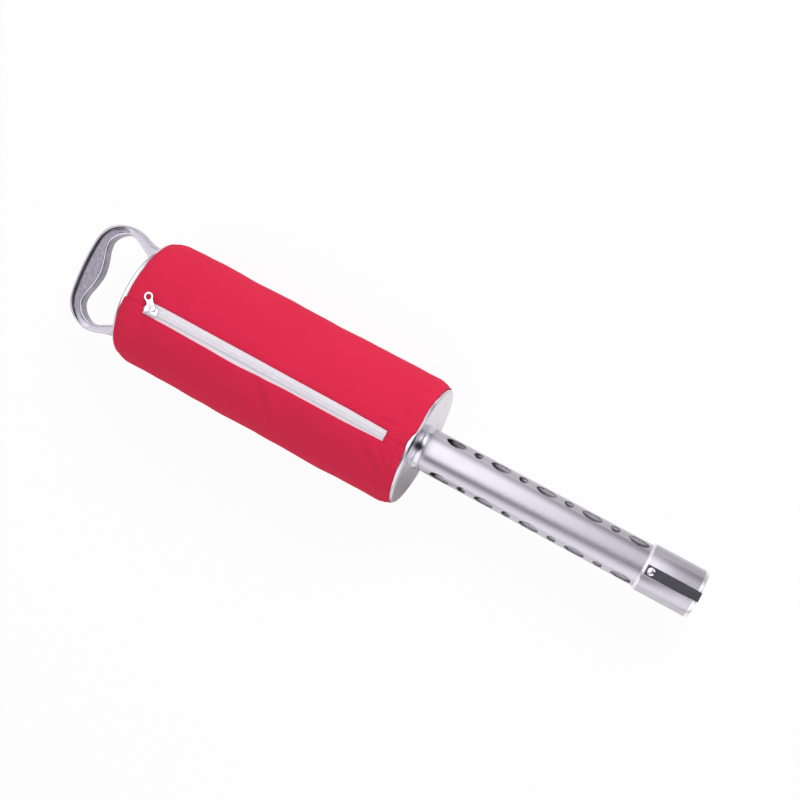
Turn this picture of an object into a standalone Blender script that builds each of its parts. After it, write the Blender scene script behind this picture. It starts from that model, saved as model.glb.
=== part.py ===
"""Golf ball pickup tool: a zipped fabric bag between two end plates, a D-handle and a perforated ball tube.

Metres, +Z up. +X runs along the tool from its handle to its mouth, and the tool lies on the flat underside
of its bag with the zipper on top. The origin is in the middle of that underside. A station is a distance
along the tool from the outer face of the top end plate, and an angle round the tool starts at +Z and grows
towards +Y.
"""

import math

import bmesh
import bpy
from mathutils import Matrix, Vector

# Clearances

CLEARANCE = 0.0003
BALL_PLAY = 0.000865
NOSE_GRIP = 0.000735
HEM_EASE = 0.0004

# Ball and tubes

BALL_RADIUS = 0.021335
TUBE_WALL = 0.0008
TUBE_REACH = 0.2458
TUBE_INSERT = 0.0313
TUBE_TURN = math.radians(3.5)
OUTLET_WIDTH = 0.0445
OUTLET_START = 0.020
OUTLET_LENGTH = 0.062

# Holes in the pickup tube

HOLE_ROWS = 3
HOLE_PITCH = 0.0258
FIRST_HOLE = 0.0252
LAST_HOLE_MARGIN = 0.013
LARGE_HOLE_LENGTH = 0.022
LARGE_HOLE_WIDTH = 0.012
SMALL_HOLE_WIDTH = 0.010

# End plates

PLATE_SPACING = 0.3415
PLATE_RADIUS = 0.066
PLATE_SHEET = 0.0008
PLATE_EDGE_RADIUS = 0.003
SKIRT_DEPTH = 0.014
GROOVE_STATION = 0.0062
GROOVE_WIDTH = 0.0026
GROOVE_DEPTH = 0.0016
NECK_HEIGHT = 0.0073
NECK_WALL = 0.0009
NECK_FILLET = 0.0045
NECK_LIP = 0.0004
HOOP_WIRE = 0.0007

# Bag

BAG_FULLNESS = 0.0034
FABRIC = 0.0012
HEM_SETBACK = 0.003
HEM_LENGTH = 0.006
SHOULDER_LENGTH = 0.008
NOTCH_DEPTH = 0.004
NOTCH_WIDTH = 0.006

# Zipper

ZIP_START = 0.029
ZIP_END_SETBACK = 0.0265
SLOT_WIDE = 0.0152
SLOT_NARROW = 0.0122
TAPE_WIDTH = 0.0125
TAPE_OVERLAP = 0.004
TAPE_THICKNESS = 0.0006
COIL_WIDTH = 0.0022
COIL_HEIGHT = 0.0018
SLIDER_SLIT = 0.0016
SLIDER_SETBACK = 0.0095
SLIDER_LENGTH = 0.0155
SLIDER_FRONT_WIDTH = 0.0105
SLIDER_REAR_WIDTH = 0.0074
SLIDER_PLATE = 0.0013
UNDERPLATE_INSET = 0.001
WEDGE_LENGTH = 0.004
WEDGE_SETBACK = 0.0015
BRIDGE_SPAN = 0.0029
BRIDGE_WIDTH = 0.0010
BRIDGE_HEIGHT = 0.0018
BRIDGE_BAR = 0.0009
BRIDGE_OFFSET = 0.0015
PULL_YAW = math.radians(48)
PULL_LENGTH = 0.0150
PULL_WIDTH = 0.0076
PULL_THICKNESS = 0.0008
PULL_CROSSBAR = 0.0010
PULL_EYE_LENGTH = 0.0036
PULL_EYE_WIDTH = 0.0048
PULL_RING_RADIUS = 0.0050
PULL_RING_HOLE = 0.0030

# Mouth

SLEEVE_LENGTH = 0.0604
SLEEVE_WALL = 0.0021
STEP_LENGTH = 0.0024
MOUTH_CHAMFER = 0.0009
MOUTH_SETBACK = 0.014
FINGERS = 3
FINGER_WIDTH = 0.010
FINGER_THICKNESS = 0.0015
FINGER_START = 0.0042
FINGER_OVERHANG = 0.001
NOSE_SETBACK = 0.0049
NOSE_LENGTH = 0.0046
RIVET_SETBACK = 0.0049
RIVET_HEAD_RADIUS = 0.0043
RIVET_DOME = 0.0017
RIVET_SHANK_RADIUS = 0.0015

# Handle

HANDLE_REACH = 0.086
HANDLE_HALF_WIDTH = 0.0616
GRIP_DEPTH = 0.0254
ARM_WIDTH = 0.0086
FOOT_WIDTH = 0.024
FOOT_SETBACK = 0.009
FOOT_LENGTH = 0.003
WEB_THICKNESS = 0.004
RIM_HEIGHT = 0.013
OUTER_RIM_WIDTH = 0.0026
INNER_RIM_WIDTH = 0.0038
BOSS_WIDTH = 0.013
BOSS_LENGTH = 0.016
BOSS_HEIGHT = 0.012

# Fasteners and inner fittings

HANDLE_SCREW_RADIUS = 0.0022
HANDLE_SCREW_LENGTH = 0.0125
HANDLE_SCREW_HEAD_RADIUS = 0.0042
HANDLE_SCREW_HEAD = 0.0028
WASHER_RADIUS = 0.006
WASHER_THICKNESS = 0.001
PLUG_FLANGE_MARGIN = 0.005
PLUG_FLANGE = 0.005
PLUG_SPIGOT = 0.0115
PLUG_CAVITY_WALL = 0.003
PLUG_SCREWS = 3
PLUG_SCREW_INSET = 0.006
PLUG_SCREW_RADIUS = 0.0018
PLUG_SCREW_LENGTH = 0.0052
PLUG_SCREW_HEAD_RADIUS = 0.0035
PLUG_SCREW_HEAD = 0.0022
SOCKET_FLANGE_RADIUS = 0.036
SOCKET_FLANGE = 0.0015
SOCKET_WALL = 0.001
SOCKET_LENGTH = 0.0685

# Facets

TURN_STEPS = 40
BAG_STEPS = 48
FASTENER_STEPS = 12
LARGE_HOLE_SIDES = 14
SMALL_HOLE_SIDES = 10
ARC_STEPS = 3
PATH_STEPS = 2

# Radii from the tool's axis and stations along it, from the sizes above

TUBE_BORE = BALL_RADIUS + BALL_PLAY
TUBE_RADIUS = TUBE_BORE + TUBE_WALL
SOCKET_BORE = TUBE_RADIUS + CLEARANCE
NECK_RADIUS = SOCKET_BORE + NECK_WALL
SLEEVE_RADIUS = SOCKET_BORE + SLEEVE_WALL
HEM_BORE = PLATE_RADIUS + HEM_EASE
AXIS_HEIGHT = HEM_BORE + FABRIC
BAG_RADIUS = AXIS_HEIGHT + BAG_FULLNESS
TAPE_TOP = BAG_RADIUS - FABRIC - CLEARANCE
COIL_BASE = TAPE_TOP + CLEARANCE
COIL_TOP = COIL_BASE + COIL_HEIGHT
SLIDER_BASE = COIL_TOP + CLEARANCE
SLIDER_TOP = SLIDER_BASE + SLIDER_PLATE
NECK_END = PLATE_SPACING + NECK_HEIGHT
SLEEVE_START = NECK_END + TUBE_REACH
MOUTH = SLEEVE_START + SLEEVE_LENGTH
TOOL_END = MOUTH + FINGER_OVERHANG
TUBE_START = NECK_END - TUBE_INSERT
TUBE_END = MOUTH - MOUTH_SETBACK
ZIP_END = PLATE_SPACING - ZIP_END_SETBACK
SLIDER_STATION = ZIP_START + SLIDER_SETBACK
RIVET_STATION = SLEEVE_START + FINGER_START + RIVET_SETBACK
FOOT_OUTER = PLATE_RADIUS - FOOT_SETBACK
FOOT_INNER = FOOT_OUTER - FOOT_WIDTH
SCREW_OFFSET = (FOOT_INNER + FOOT_OUTER) / 2
PLUG_FLANGE_RADIUS = SCREW_OFFSET - WASHER_RADIUS - PLUG_FLANGE_MARGIN
PLUG_SCREW_CIRCLE = PLUG_FLANGE_RADIUS - PLUG_SCREW_INSET
MIDDLE = (TOOL_END - HANDLE_REACH) / 2


def clear_scene():
    for piece in list(bpy.data.objects):
        bpy.data.objects.remove(piece, do_unlink=True)


def new_collection(name, rendered=True):
    collection = bpy.data.collections.new(name)
    collection.hide_render = not rendered
    bpy.context.scene.collection.children.link(collection)
    return collection


clear_scene()
PARTS = new_collection("golf_ball_pickup_tool")
CUTTERS = new_collection("cutters", rendered=False)


def on_axis(station):
    """The point of the tool's axis at a station."""
    return Vector((station - MIDDLE, 0, AXIS_HEIGHT))


def turned_to(angle):
    """A turn about the tool's axis that takes +Z to this angle."""
    return Matrix.Rotation(-angle, 4, "X")


def place(station, angle=0.0, radius=0.0):
    """A frame at this station, angle and radius, with its Z away from the axis and its X along it."""
    return Matrix.Translation(on_axis(station)) @ turned_to(angle) @ Matrix.Translation((0, 0, radius))


def make_material(name, colour, metallic, roughness):
    made = bpy.data.materials.new(name)
    made.use_nodes = True
    shader = made.node_tree.nodes["Principled BSDF"]
    shader.inputs["Base Color"].default_value = (*colour, 1)
    shader.inputs["Metallic"].default_value = metallic
    shader.inputs["Roughness"].default_value = roughness
    return made


def finish(piece, name, finish_values):
    piece.name = name
    piece.data.name = name
    piece.data.materials.clear()
    piece.data.materials.append(make_material(name, *finish_values))
    return piece


ALUMINIUM = ((0.78, 0.77, 0.80), 1.0, 0.32)
TURNED_ALUMINIUM = ((0.74, 0.73, 0.77), 1.0, 0.36)
PLATED_STEEL = ((0.76, 0.78, 0.80), 1.0, 0.18)
CAST_METAL = ((0.55, 0.54, 0.57), 1.0, 0.3)
CHROME = ((0.85, 0.85, 0.87), 1.0, 0.08)
SCREW_STEEL = ((0.5, 0.5, 0.52), 1.0, 0.35)
RED_FABRIC = ((0.72, 0.035, 0.085), 0.0, 0.85)
WHITE_TAPE = ((0.82, 0.80, 0.86), 0.0, 0.8)
WHITE_COIL = ((0.84, 0.82, 0.87), 0.0, 0.45)
BLACK_RUBBER = ((0.045, 0.043, 0.055), 0.0, 0.6)
GREY_PLASTIC = ((0.35, 0.35, 0.37), 0.0, 0.5)


def add_object(name, mesh, collection=None):
    piece = bpy.data.objects.new(name, mesh)
    (collection or PARTS).objects.link(piece)
    return piece


def evaluated_mesh(piece):
    bpy.context.view_layer.update()
    graph = bpy.context.evaluated_depsgraph_get()
    return bpy.data.meshes.new_from_object(piece.evaluated_get(graph))


def as_solid(piece):
    """The mesh object of a curve or of a piece with modifiers, in the same place, with its caps welded on."""
    mesh = evaluated_mesh(piece)
    held = bmesh.new()
    held.from_mesh(mesh)
    bmesh.ops.remove_doubles(held, verts=held.verts, dist=1e-6)
    held.to_mesh(mesh)
    held.free()
    name = piece.name
    placed = piece.matrix_world.copy()
    bpy.data.objects.remove(piece, do_unlink=True)
    made = add_object(name, mesh)
    made.matrix_world = placed
    return made


def as_cutter(piece):
    """Moves a solid to the cutters, where no render shows it."""
    for collection in list(piece.users_collection):
        collection.objects.unlink(piece)
    CUTTERS.objects.link(piece)
    piece.hide_render = True
    piece.display_type = "WIRE"
    return piece


def cut(piece, cutter, operation="DIFFERENCE"):
    modifier = piece.modifiers.new(operation.title(), "BOOLEAN")
    modifier.operation = operation
    modifier.solver = "EXACT"
    modifier.object = as_cutter(cutter)
    return piece


def shade_round(piece):
    mesh = piece.data
    if piece.type == "MESH" and mesh.polygons:
        mesh.shade_smooth()
        mesh.set_sharp_from_angle(angle=math.radians(35))
    for modifier in piece.modifiers:
        if modifier.type == "SCREW":
            modifier.use_smooth_shade = True


def turned(name, outline, matrix, steps=TURN_STEPS, ring=True):
    """Turns an outline of (distance along the axis, radius) points about the X of the frame in matrix. The
    outline runs clockwise when the distance is drawn upwards, and a ring's outline closes on itself."""
    mesh = bpy.data.meshes.new(name)
    points = [(radius, 0, along) for along, radius in outline]
    edges = [(i, i + 1) for i in range(len(points) - 1)]
    if ring:
        edges.append((len(points) - 1, 0))
    mesh.from_pydata(points, edges, [])
    piece = add_object(name, mesh)
    piece.matrix_world = matrix @ Matrix.Rotation(math.pi / 2, 4, "Y")
    screw = piece.modifiers.new("Turn", "SCREW")
    screw.axis = "Z"
    screw.steps = steps
    screw.render_steps = steps
    screw.use_merge_vertices = True
    screw.merge_threshold = 1e-5
    shade_round(piece)
    return piece


def flat_shape(name, outlines, thickness, matrix):
    """A plate of this thickness on both sides of the XY plane of the frame in matrix. The first outline is
    its edge and any others are holes in it."""
    curve = bpy.data.curves.new(name, "CURVE")
    curve.dimensions = "2D"
    curve.fill_mode = "BOTH"
    curve.extrude = thickness / 2
    for outline in outlines:
        spline = curve.splines.new("POLY")
        spline.points.add(len(outline) - 1)
        for point, (x, y) in zip(spline.points, outline):
            point.co = (x, y, 0, 1)
        spline.use_cyclic_u = True
    piece = add_object(name, curve)
    piece.matrix_world = matrix
    return as_solid(piece)


def along_tool(name, section, start, end):
    """A bar with this (y, height over the axis) section, from one station to another."""
    to_tool = Matrix(((0, 0, 1, 0), (1, 0, 0, 0), (0, 1, 0, 0), (0, 0, 0, 1)))
    matrix = Matrix.Translation(on_axis((start + end) / 2)) @ to_tool
    return flat_shape(name, [section], end - start, matrix)


def box(name, low, high, matrix):
    """A box between two corners of the frame in matrix."""
    held = bmesh.new()
    low = Vector(low)
    high = Vector(high)
    size = high - low
    fit = Matrix.Translation((low + high) / 2) @ Matrix.Diagonal((*size, 1))
    bmesh.ops.create_cube(held, size=1, matrix=fit)
    mesh = bpy.data.meshes.new(name)
    held.to_mesh(mesh)
    held.free()
    piece = add_object(name, mesh)
    piece.matrix_world = matrix
    return piece


def add_rod(held, matrix, radius, length, sides, stretch=1.0):
    """Adds a rod along Z to a mesh under work, stretched along X, from z = 0 to its length."""
    fit = matrix @ Matrix.Translation((0, 0, length / 2)) @ Matrix.Diagonal((stretch, 1, 1, 1))
    bmesh.ops.create_cone(
        held,
        cap_ends=True,
        segments=sides,
        radius1=radius,
        radius2=radius,
        depth=length,
        matrix=fit,
    )


def rods(name, placed):
    """One mesh of separate rods. placed lists (matrix, radius, length, sides, stretch)."""
    held = bmesh.new()
    for matrix, radius, length, sides, stretch in placed:
        add_rod(held, matrix, radius, length, sides, stretch)
    mesh = bpy.data.meshes.new(name)
    held.to_mesh(mesh)
    held.free()
    return add_object(name, mesh)


def screw_holes(name, screws, length):
    """A cutter with a rod for each (matrix, radius) of a screw, wider than the screw by the clearance."""
    return rods(name, [(matrix, radius + CLEARANCE, length, FASTENER_STEPS, 1) for matrix, radius in screws])


def arc(centre_along, centre_radius, radius, start, end, points=ARC_STEPS):
    """Points of a round in an outline, as (along, radius), between two angles in degrees."""
    found = []
    for i in range(points + 1):
        angle = math.radians(start + (end - start) * i / points)
        found.append((centre_along + radius * math.sin(angle), centre_radius + radius * math.cos(angle)))
    return found


def circle(radius, sides, x=0.0, y=0.0):
    turns = [2 * math.pi * i / sides for i in range(sides)]
    return [(x + radius * math.cos(turn), y + radius * math.sin(turn)) for turn in turns]


def smooth_path(points, between=PATH_STEPS):
    """A smooth path through the points, with a few more between each two of them."""
    found = []
    count = len(points)
    for i in range(count - 1):
        before = Vector(points[max(i - 1, 0)])
        first = Vector(points[i])
        second = Vector(points[i + 1])
        after = Vector(points[min(i + 2, count - 1)])
        for step in range(between):
            t = step / between
            found.append(
                0.5
                * (
                    2 * first
                    + (second - before) * t
                    + (2 * before - 5 * first + 4 * second - after) * t * t
                    + (3 * first - before - 3 * second + after) * t * t * t
                )
            )
    found.append(Vector(points[-1]))
    return found


def offset_path(path, distance):
    """The path moved to its left by a distance, with its two ends kept square to the top plate."""
    found = []
    for i, point in enumerate(path):
        if i in (0, len(path) - 1):
            tangent = Vector((1, 0)) if i else Vector((-1, 0))
        else:
            tangent = (path[i + 1] - path[i - 1]).normalized()
        found.append(point + Vector((-tangent.y, tangent.x)) * distance)
    return found


# End plates


def skirt_outline(face, inward):
    """The outer then inner side of a pressed plate's face edge, groove and skirt. inward is 1 where the skirt
    runs towards higher stations. The points run from the face to the skirt's end and back."""

    def at(depth, radius):
        return (face + inward * depth, radius)

    edge = PLATE_EDGE_RADIUS
    inner_edge = edge - PLATE_SHEET
    floor = PLATE_RADIUS - GROOVE_DEPTH
    near = GROOVE_STATION - GROOVE_WIDTH / 2
    far = GROOVE_STATION + GROOVE_WIDTH / 2
    outer = [
        at(depth, radius)
        for depth, radius in reversed(arc(edge, PLATE_RADIUS - edge, edge, 0, -90))
    ]
    outer += [at(near, PLATE_RADIUS), at(near + GROOVE_DEPTH / 2, floor)]
    outer += [at(far - GROOVE_DEPTH / 2, floor), at(far, PLATE_RADIUS)]
    outer += [at(SKIRT_DEPTH, PLATE_RADIUS)]
    bore = PLATE_RADIUS - PLATE_SHEET
    inner = [at(SKIRT_DEPTH, bore), at(far + PLATE_SHEET / 2, bore)]
    inner += [at(far - GROOVE_DEPTH / 2 + PLATE_SHEET / 2, floor - PLATE_SHEET)]
    inner += [at(near + GROOVE_DEPTH / 2 - PLATE_SHEET / 2, floor - PLATE_SHEET)]
    inner += [at(near - PLATE_SHEET / 2, bore)]
    inner += [at(depth, radius) for depth, radius in arc(edge, PLATE_RADIUS - edge, inner_edge, 0, -90)]
    return outer, inner


def make_top_end_plate():
    outer, inner = skirt_outline(0, 1)
    outline = [(PLATE_SHEET, 0)] + inner[::-1] + outer[::-1] + [(0, 0)]
    plate = turned("top_end_plate", outline, place(0), ring=False)
    screws = [(place(-PLATE_SHEET) @ screw_place(side), HANDLE_SCREW_RADIUS) for side in (-1, 1)]
    for i in range(PLUG_SCREWS):
        matrix = place(-PLATE_SHEET, plug_screw_angle(i), PLUG_SCREW_CIRCLE) @ along_axis()
        screws.append((matrix, PLUG_SCREW_RADIUS))
    cut(plate, screw_holes("top_plate_holes", screws, 3 * PLATE_SHEET))
    return finish(plate, "top_end_plate", PLATED_STEEL)


def make_bottom_end_plate():
    outer, inner = skirt_outline(PLATE_SPACING, -1)
    fillet = NECK_FILLET
    lip_start = NECK_END - 3 * NECK_LIP
    flare = arc(PLATE_SPACING + fillet, NECK_RADIUS + fillet, fillet, 180, 270)
    neck = [(NECK_END, SOCKET_BORE), (NECK_END, NECK_RADIUS + NECK_LIP), (lip_start, NECK_RADIUS + NECK_LIP)]
    neck += [(lip_start - NECK_LIP, NECK_RADIUS)]
    outside = neck + flare + outer
    under = PLATE_SPACING - PLATE_SHEET
    inside = inner + [(under, SOCKET_BORE)]
    plate = turned("bottom_end_plate", outside + inside, place(0))
    return finish(plate, "bottom_end_plate", PLATED_STEEL)


def make_hem_hoops():
    """A wire ring lies in each skirt's groove, under the fabric's hem."""
    centre = PLATE_RADIUS - GROOVE_DEPTH + CLEARANCE + HOOP_WIRE
    for name, station in (
        ("hem_hoop_top", GROOVE_STATION),
        ("hem_hoop_bottom", PLATE_SPACING - GROOVE_STATION),
    ):
        wire = [
            (HOOP_WIRE * math.sin(turn), centre + HOOP_WIRE * math.cos(turn))
            for turn in (2 * math.pi * i / 6 for i in range(6))
        ]
        hoop = turned(name, wire[::-1], place(station))
        finish(hoop, name, SCREW_STEEL)


# Handle


def half_outlines():
    """The outer and the inner edge of one half of the handle, as (station, y), from the grip to the foot. Both
    are drawn in shares of the loop's reach and half width, and end at the foot's own sides."""
    inner_reach = HANDLE_REACH - GRIP_DEPTH
    inner_half = HANDLE_HALF_WIDTH - ARM_WIDTH
    outer_shares = [
        (1, 0),
        (0.983, 0.451),
        (0.942, 0.688),
        (0.86, 0.847),
        (0.738, 0.953),
        (0.599, 1),
        (0.459, 0.977),
        (0.279, 0.896),
    ]
    inner_shares = [
        (1, 0),
        (1.035, 0.264),
        (1.097, 0.509),
        (1.102, 0.698),
        (1.031, 0.845),
        (0.924, 0.943),
        (0.789, 1),
        (0.652, 0.966),
        (0.479, 0.868),
        (0.33, 0.774),
    ]
    outer = [(-HANDLE_REACH * x, HANDLE_HALF_WIDTH * y) for x, y in outer_shares]
    inner = [(-inner_reach * x, inner_half * y) for x, y in inner_shares]
    outer += [(-4 * FOOT_LENGTH, FOOT_OUTER - FOOT_LENGTH * 0.7)]
    inner += [(-3 * FOOT_LENGTH, FOOT_INNER + FOOT_LENGTH * 0.7)]
    for edge, side in ((outer, FOOT_OUTER), (inner, FOOT_INNER)):
        edge += [(-FOOT_LENGTH, side), (-CLEARANCE, side)]
    return outer, inner


def whole_path(half):
    """Both halves of a handle edge, from the foot at -Y round to the foot at +Y."""
    mirrored = [(x, -y) for x, y in half[:0:-1]]
    return smooth_path(mirrored + half)


def make_handle():
    """Two rims and two bosses joined by a thinner web, whose own edges lie inside the rims."""
    outer_half, inner_half = half_outlines()
    outer = whole_path(outer_half)
    inner = whole_path(inner_half)
    web_outer = offset_path(whole_path(outer_half[:-1]), -OUTER_RIM_WIDTH / 2)
    web_inner = offset_path(whole_path(inner_half[:-1]), INNER_RIM_WIDTH / 2)
    level = place(0)
    web = flat_shape("handle", [web_outer + web_inner[::-1]], WEB_THICKNESS, level)
    for name, edge, width in (("outer_rim", outer, -OUTER_RIM_WIDTH), ("inner_rim", inner, INNER_RIM_WIDTH)):
        rim = flat_shape(name, [edge + offset_path(edge, width)[::-1]], RIM_HEIGHT, level)
        cut(web, rim, "UNION")
    for side in (-1, 1):
        low = (-CLEARANCE - BOSS_LENGTH, side * SCREW_OFFSET - BOSS_WIDTH / 2, -BOSS_HEIGHT / 2)
        high = (-CLEARANCE, side * SCREW_OFFSET + BOSS_WIDTH / 2, BOSS_HEIGHT / 2)
        cut(web, box("boss", low, high, level), "UNION")
    depth = HANDLE_SCREW_LENGTH + 4 * CLEARANCE
    screws = [(place(-depth) @ screw_place(side), HANDLE_SCREW_RADIUS) for side in (-1, 1)]
    cut(web, screw_holes("handle_screw_holes", screws, 2 * depth))
    return finish(as_solid(web), "handle", CAST_METAL)


# Fasteners


def along_axis():
    """Takes a rod along Z to one along the tool."""
    return Matrix.Rotation(math.pi / 2, 4, "Y")


def screw_place(side):
    """Where a handle screw's axis lies, from the tool's axis."""
    return Matrix.Translation((0, side * SCREW_OFFSET, 0)) @ along_axis()


def plug_screw_angle(i):
    return 2 * math.pi * i / PLUG_SCREWS + math.pi / 2


def domed_head(head_radius, head_height, top):
    """The outline of a pan head whose flat underside is at the top of the screw's shank, from its crown."""
    outline = []
    for i in range(ARC_STEPS + 1):
        angle = math.radians(90 * i / ARC_STEPS)
        outline.append((top + head_height * math.cos(angle), head_radius * math.sin(angle)))
    return outline


def screw_outline(shank_radius, shank_length, head_radius, head_height):
    """A screw along +X whose head is at x = 0 and above, and whose shank runs to -X."""
    outline = domed_head(head_radius, head_height, 0)
    outline += [(0, shank_radius), (-shank_length, shank_radius), (-shank_length, 0)]
    return outline


def make_handle_screws():
    """Each screw comes from inside the top plate, through a washer and the plate into a foot."""
    under_head = PLATE_SHEET + 2 * CLEARANCE + WASHER_THICKNESS
    outline = screw_outline(
        HANDLE_SCREW_RADIUS,
        under_head + CLEARANCE + HANDLE_SCREW_LENGTH,
        HANDLE_SCREW_HEAD_RADIUS,
        HANDLE_SCREW_HEAD,
    )
    washer_bore = HANDLE_SCREW_RADIUS + CLEARANCE
    washer = [
        (WASHER_THICKNESS, washer_bore),
        (WASHER_THICKNESS, WASHER_RADIUS),
        (0, WASHER_RADIUS),
        (0, washer_bore),
    ]
    for name, side in (("left", 1), ("right", -1)):
        aside = Matrix.Translation((0, side * SCREW_OFFSET, 0))
        screw_at = Matrix.Translation(on_axis(under_head + CLEARANCE)) @ aside
        screw = turned("handle_screw_" + name, outline, screw_at, FASTENER_STEPS, ring=False)
        finish(screw, "handle_screw_" + name, SCREW_STEEL)
        ring_at = Matrix.Translation(on_axis(PLATE_SHEET + CLEARANCE)) @ aside
        ring = turned("handle_washer_" + name, washer, ring_at, FASTENER_STEPS)
        finish(ring, "handle_washer_" + name, SCREW_STEEL)


def make_plug_screws():
    """The screws go through the top plate from outside, into blind holes in the plug's flange."""
    outline = screw_outline(PLUG_SCREW_RADIUS, PLUG_SCREW_LENGTH, PLUG_SCREW_HEAD_RADIUS, PLUG_SCREW_HEAD)
    for i in range(PLUG_SCREWS):
        name = f"plug_screw_{i + 1}"
        head_up = Matrix.Rotation(math.pi, 4, "Z")
        matrix = place(-CLEARANCE, plug_screw_angle(i), PLUG_SCREW_CIRCLE) @ head_up
        finish(turned(name, outline, matrix, FASTENER_STEPS, ring=False), name, SCREW_STEEL)


# Ball tube inside the bag


def make_tube_plug():
    flange_start = PLATE_SHEET + CLEARANCE
    flange_end = flange_start + PLUG_FLANGE
    spigot_end = flange_end + PLUG_SPIGOT
    spigot = TUBE_BORE - CLEARANCE
    cavity = spigot - PLUG_CAVITY_WALL
    cavity_floor = flange_end
    outline = [
        (cavity_floor, 0),
        (cavity_floor, cavity),
        (spigot_end, cavity),
        (spigot_end, spigot),
        (flange_end, spigot),
        (flange_end, PLUG_FLANGE_RADIUS),
        (flange_start, PLUG_FLANGE_RADIUS),
        (flange_start, 0),
    ]
    plug = turned("tube_plug", outline, place(0), ring=False)
    depth = PLUG_SCREW_LENGTH + CLEARANCE
    screws = []
    for i in range(PLUG_SCREWS):
        matrix = place(-depth, plug_screw_angle(i), PLUG_SCREW_CIRCLE) @ along_axis()
        screws.append((matrix, PLUG_SCREW_RADIUS))
    cut(plug, screw_holes("plug_screw_holes", screws, 2 * depth))
    return finish(plug, "tube_plug", GREY_PLASTIC)


def tube_outline(start, end, bore, radius):
    return [(end, bore), (end, radius), (start, radius), (start, bore)]


def make_inner_tube():
    start = PLATE_SHEET + 2 * CLEARANCE + PLUG_FLANGE
    end = TUBE_START - CLEARANCE
    tube = turned("inner_tube", tube_outline(start, end, TUBE_BORE, TUBE_RADIUS), place(0))
    low = (OUTLET_START, -OUTLET_WIDTH / 2, -2 * TUBE_RADIUS)
    high = (OUTLET_START + OUTLET_LENGTH, OUTLET_WIDTH / 2, 2 * TUBE_RADIUS)
    cut(tube, box("outlet_window", low, high, place(0)))
    return finish(tube, "inner_tube", ALUMINIUM)


def make_neck_socket():
    end = PLATE_SPACING - PLATE_SHEET - CLEARANCE
    start = end - SOCKET_LENGTH
    flange = end - SOCKET_FLANGE
    outside = SOCKET_BORE + SOCKET_WALL
    outline = [
        (end, SOCKET_BORE),
        (end, SOCKET_FLANGE_RADIUS),
        (flange, SOCKET_FLANGE_RADIUS),
        (flange, outside),
        (start, outside),
        (start, SOCKET_BORE),
    ]
    return finish(turned("neck_socket", outline, place(0)), "neck_socket", PLATED_STEEL)


# Bag and zipper


def bag_profile():
    """The bag's outer surface as (station, radius), from one hem to the other."""
    hem = HEM_BORE + FABRIC
    half = [
        (HEM_SETBACK, hem),
        (HEM_SETBACK + HEM_LENGTH, hem),
        (HEM_SETBACK + HEM_LENGTH + SHOULDER_LENGTH / 2, (hem + 2 * BAG_RADIUS) / 3),
        (HEM_SETBACK + HEM_LENGTH + SHOULDER_LENGTH, BAG_RADIUS - FABRIC / 4),
        (HEM_SETBACK + HEM_LENGTH + 2 * SHOULDER_LENGTH, BAG_RADIUS),
    ]
    return half + [(PLATE_SPACING - station, radius) for station, radius in half[::-1]]


def make_bag_sleeve():
    """The fabric is spun about the axis, laid flat on the ground underneath, and then given its thickness."""
    held = bmesh.new()
    points = [held.verts.new((station, 0, radius)) for station, radius in bag_profile()]
    edges = [held.edges.new(pair) for pair in zip(points, points[1:])]
    bmesh.ops.spin(
        held,
        geom=points + edges,
        cent=(0, 0, 0),
        axis=(1, 0, 0),
        angle=2 * math.pi,
        steps=BAG_STEPS,
        use_merge=True,
    )
    bmesh.ops.recalc_face_normals(held, faces=held.faces)
    for vertex in held.verts:
        vertex.co.z = max(vertex.co.z, -AXIS_HEIGHT)
    mesh = bpy.data.meshes.new("bag_sleeve")
    held.to_mesh(mesh)
    held.free()
    sleeve = add_object("bag_sleeve", mesh)
    sleeve.matrix_world = place(0)
    shell = sleeve.modifiers.new("Fabric", "SOLIDIFY")
    shell.thickness = FABRIC
    shell.offset = -1
    shell.use_even_offset = True
    slot_top = BAG_RADIUS + 4 * FABRIC
    slot_depth = 12 * FABRIC
    slot = [
        (ZIP_START, -SLOT_WIDE / 2),
        (ZIP_END, -SLOT_NARROW / 2),
        (ZIP_END, SLOT_NARROW / 2),
        (ZIP_START, SLOT_WIDE / 2),
    ]
    cut(sleeve, flat_shape("zipper_slot", [slot], slot_depth, place(0, 0, slot_top - slot_depth / 2)))
    for name, edge, inward in (("top_notch", 0, 1), ("bottom_notch", PLATE_SPACING, -1)):
        depth = edge + inward * (HEM_SETBACK + NOTCH_DEPTH)
        low = (min(edge, depth), -NOTCH_WIDTH / 2, HEM_BORE - FABRIC)
        high = (max(edge, depth), NOTCH_WIDTH / 2, BAG_RADIUS)
        cut(sleeve, box(name, low, high, place(0)))
    return finish(sleeve, "bag_sleeve", RED_FABRIC)


def tape_section(side):
    """The cross-section of a zipper tape, bent round the bag, from the slider's slit to its sewn edge."""
    start = SLIDER_SLIT / 2
    top = []
    for i in range(ARC_STEPS + 1):
        y = start + TAPE_WIDTH * i / ARC_STEPS
        top.append((side * y, math.sqrt(TAPE_TOP**2 - y**2)))
    under = [(y, height - TAPE_THICKNESS) for y, height in top[::-1]]
    return top + under


def coil_section(side):
    """The cross-section of one row of coil teeth, flat underneath and rounded on top."""
    inner = SLIDER_SLIT / 2
    rounding = COIL_HEIGHT / 3
    corners = [
        (inner, COIL_BASE),
        (inner, COIL_TOP),
        (inner + COIL_WIDTH - rounding, COIL_TOP),
        (inner + COIL_WIDTH, COIL_TOP - rounding),
        (inner + COIL_WIDTH, COIL_BASE),
    ]
    return [(side * y, height) for y, height in corners]


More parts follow.
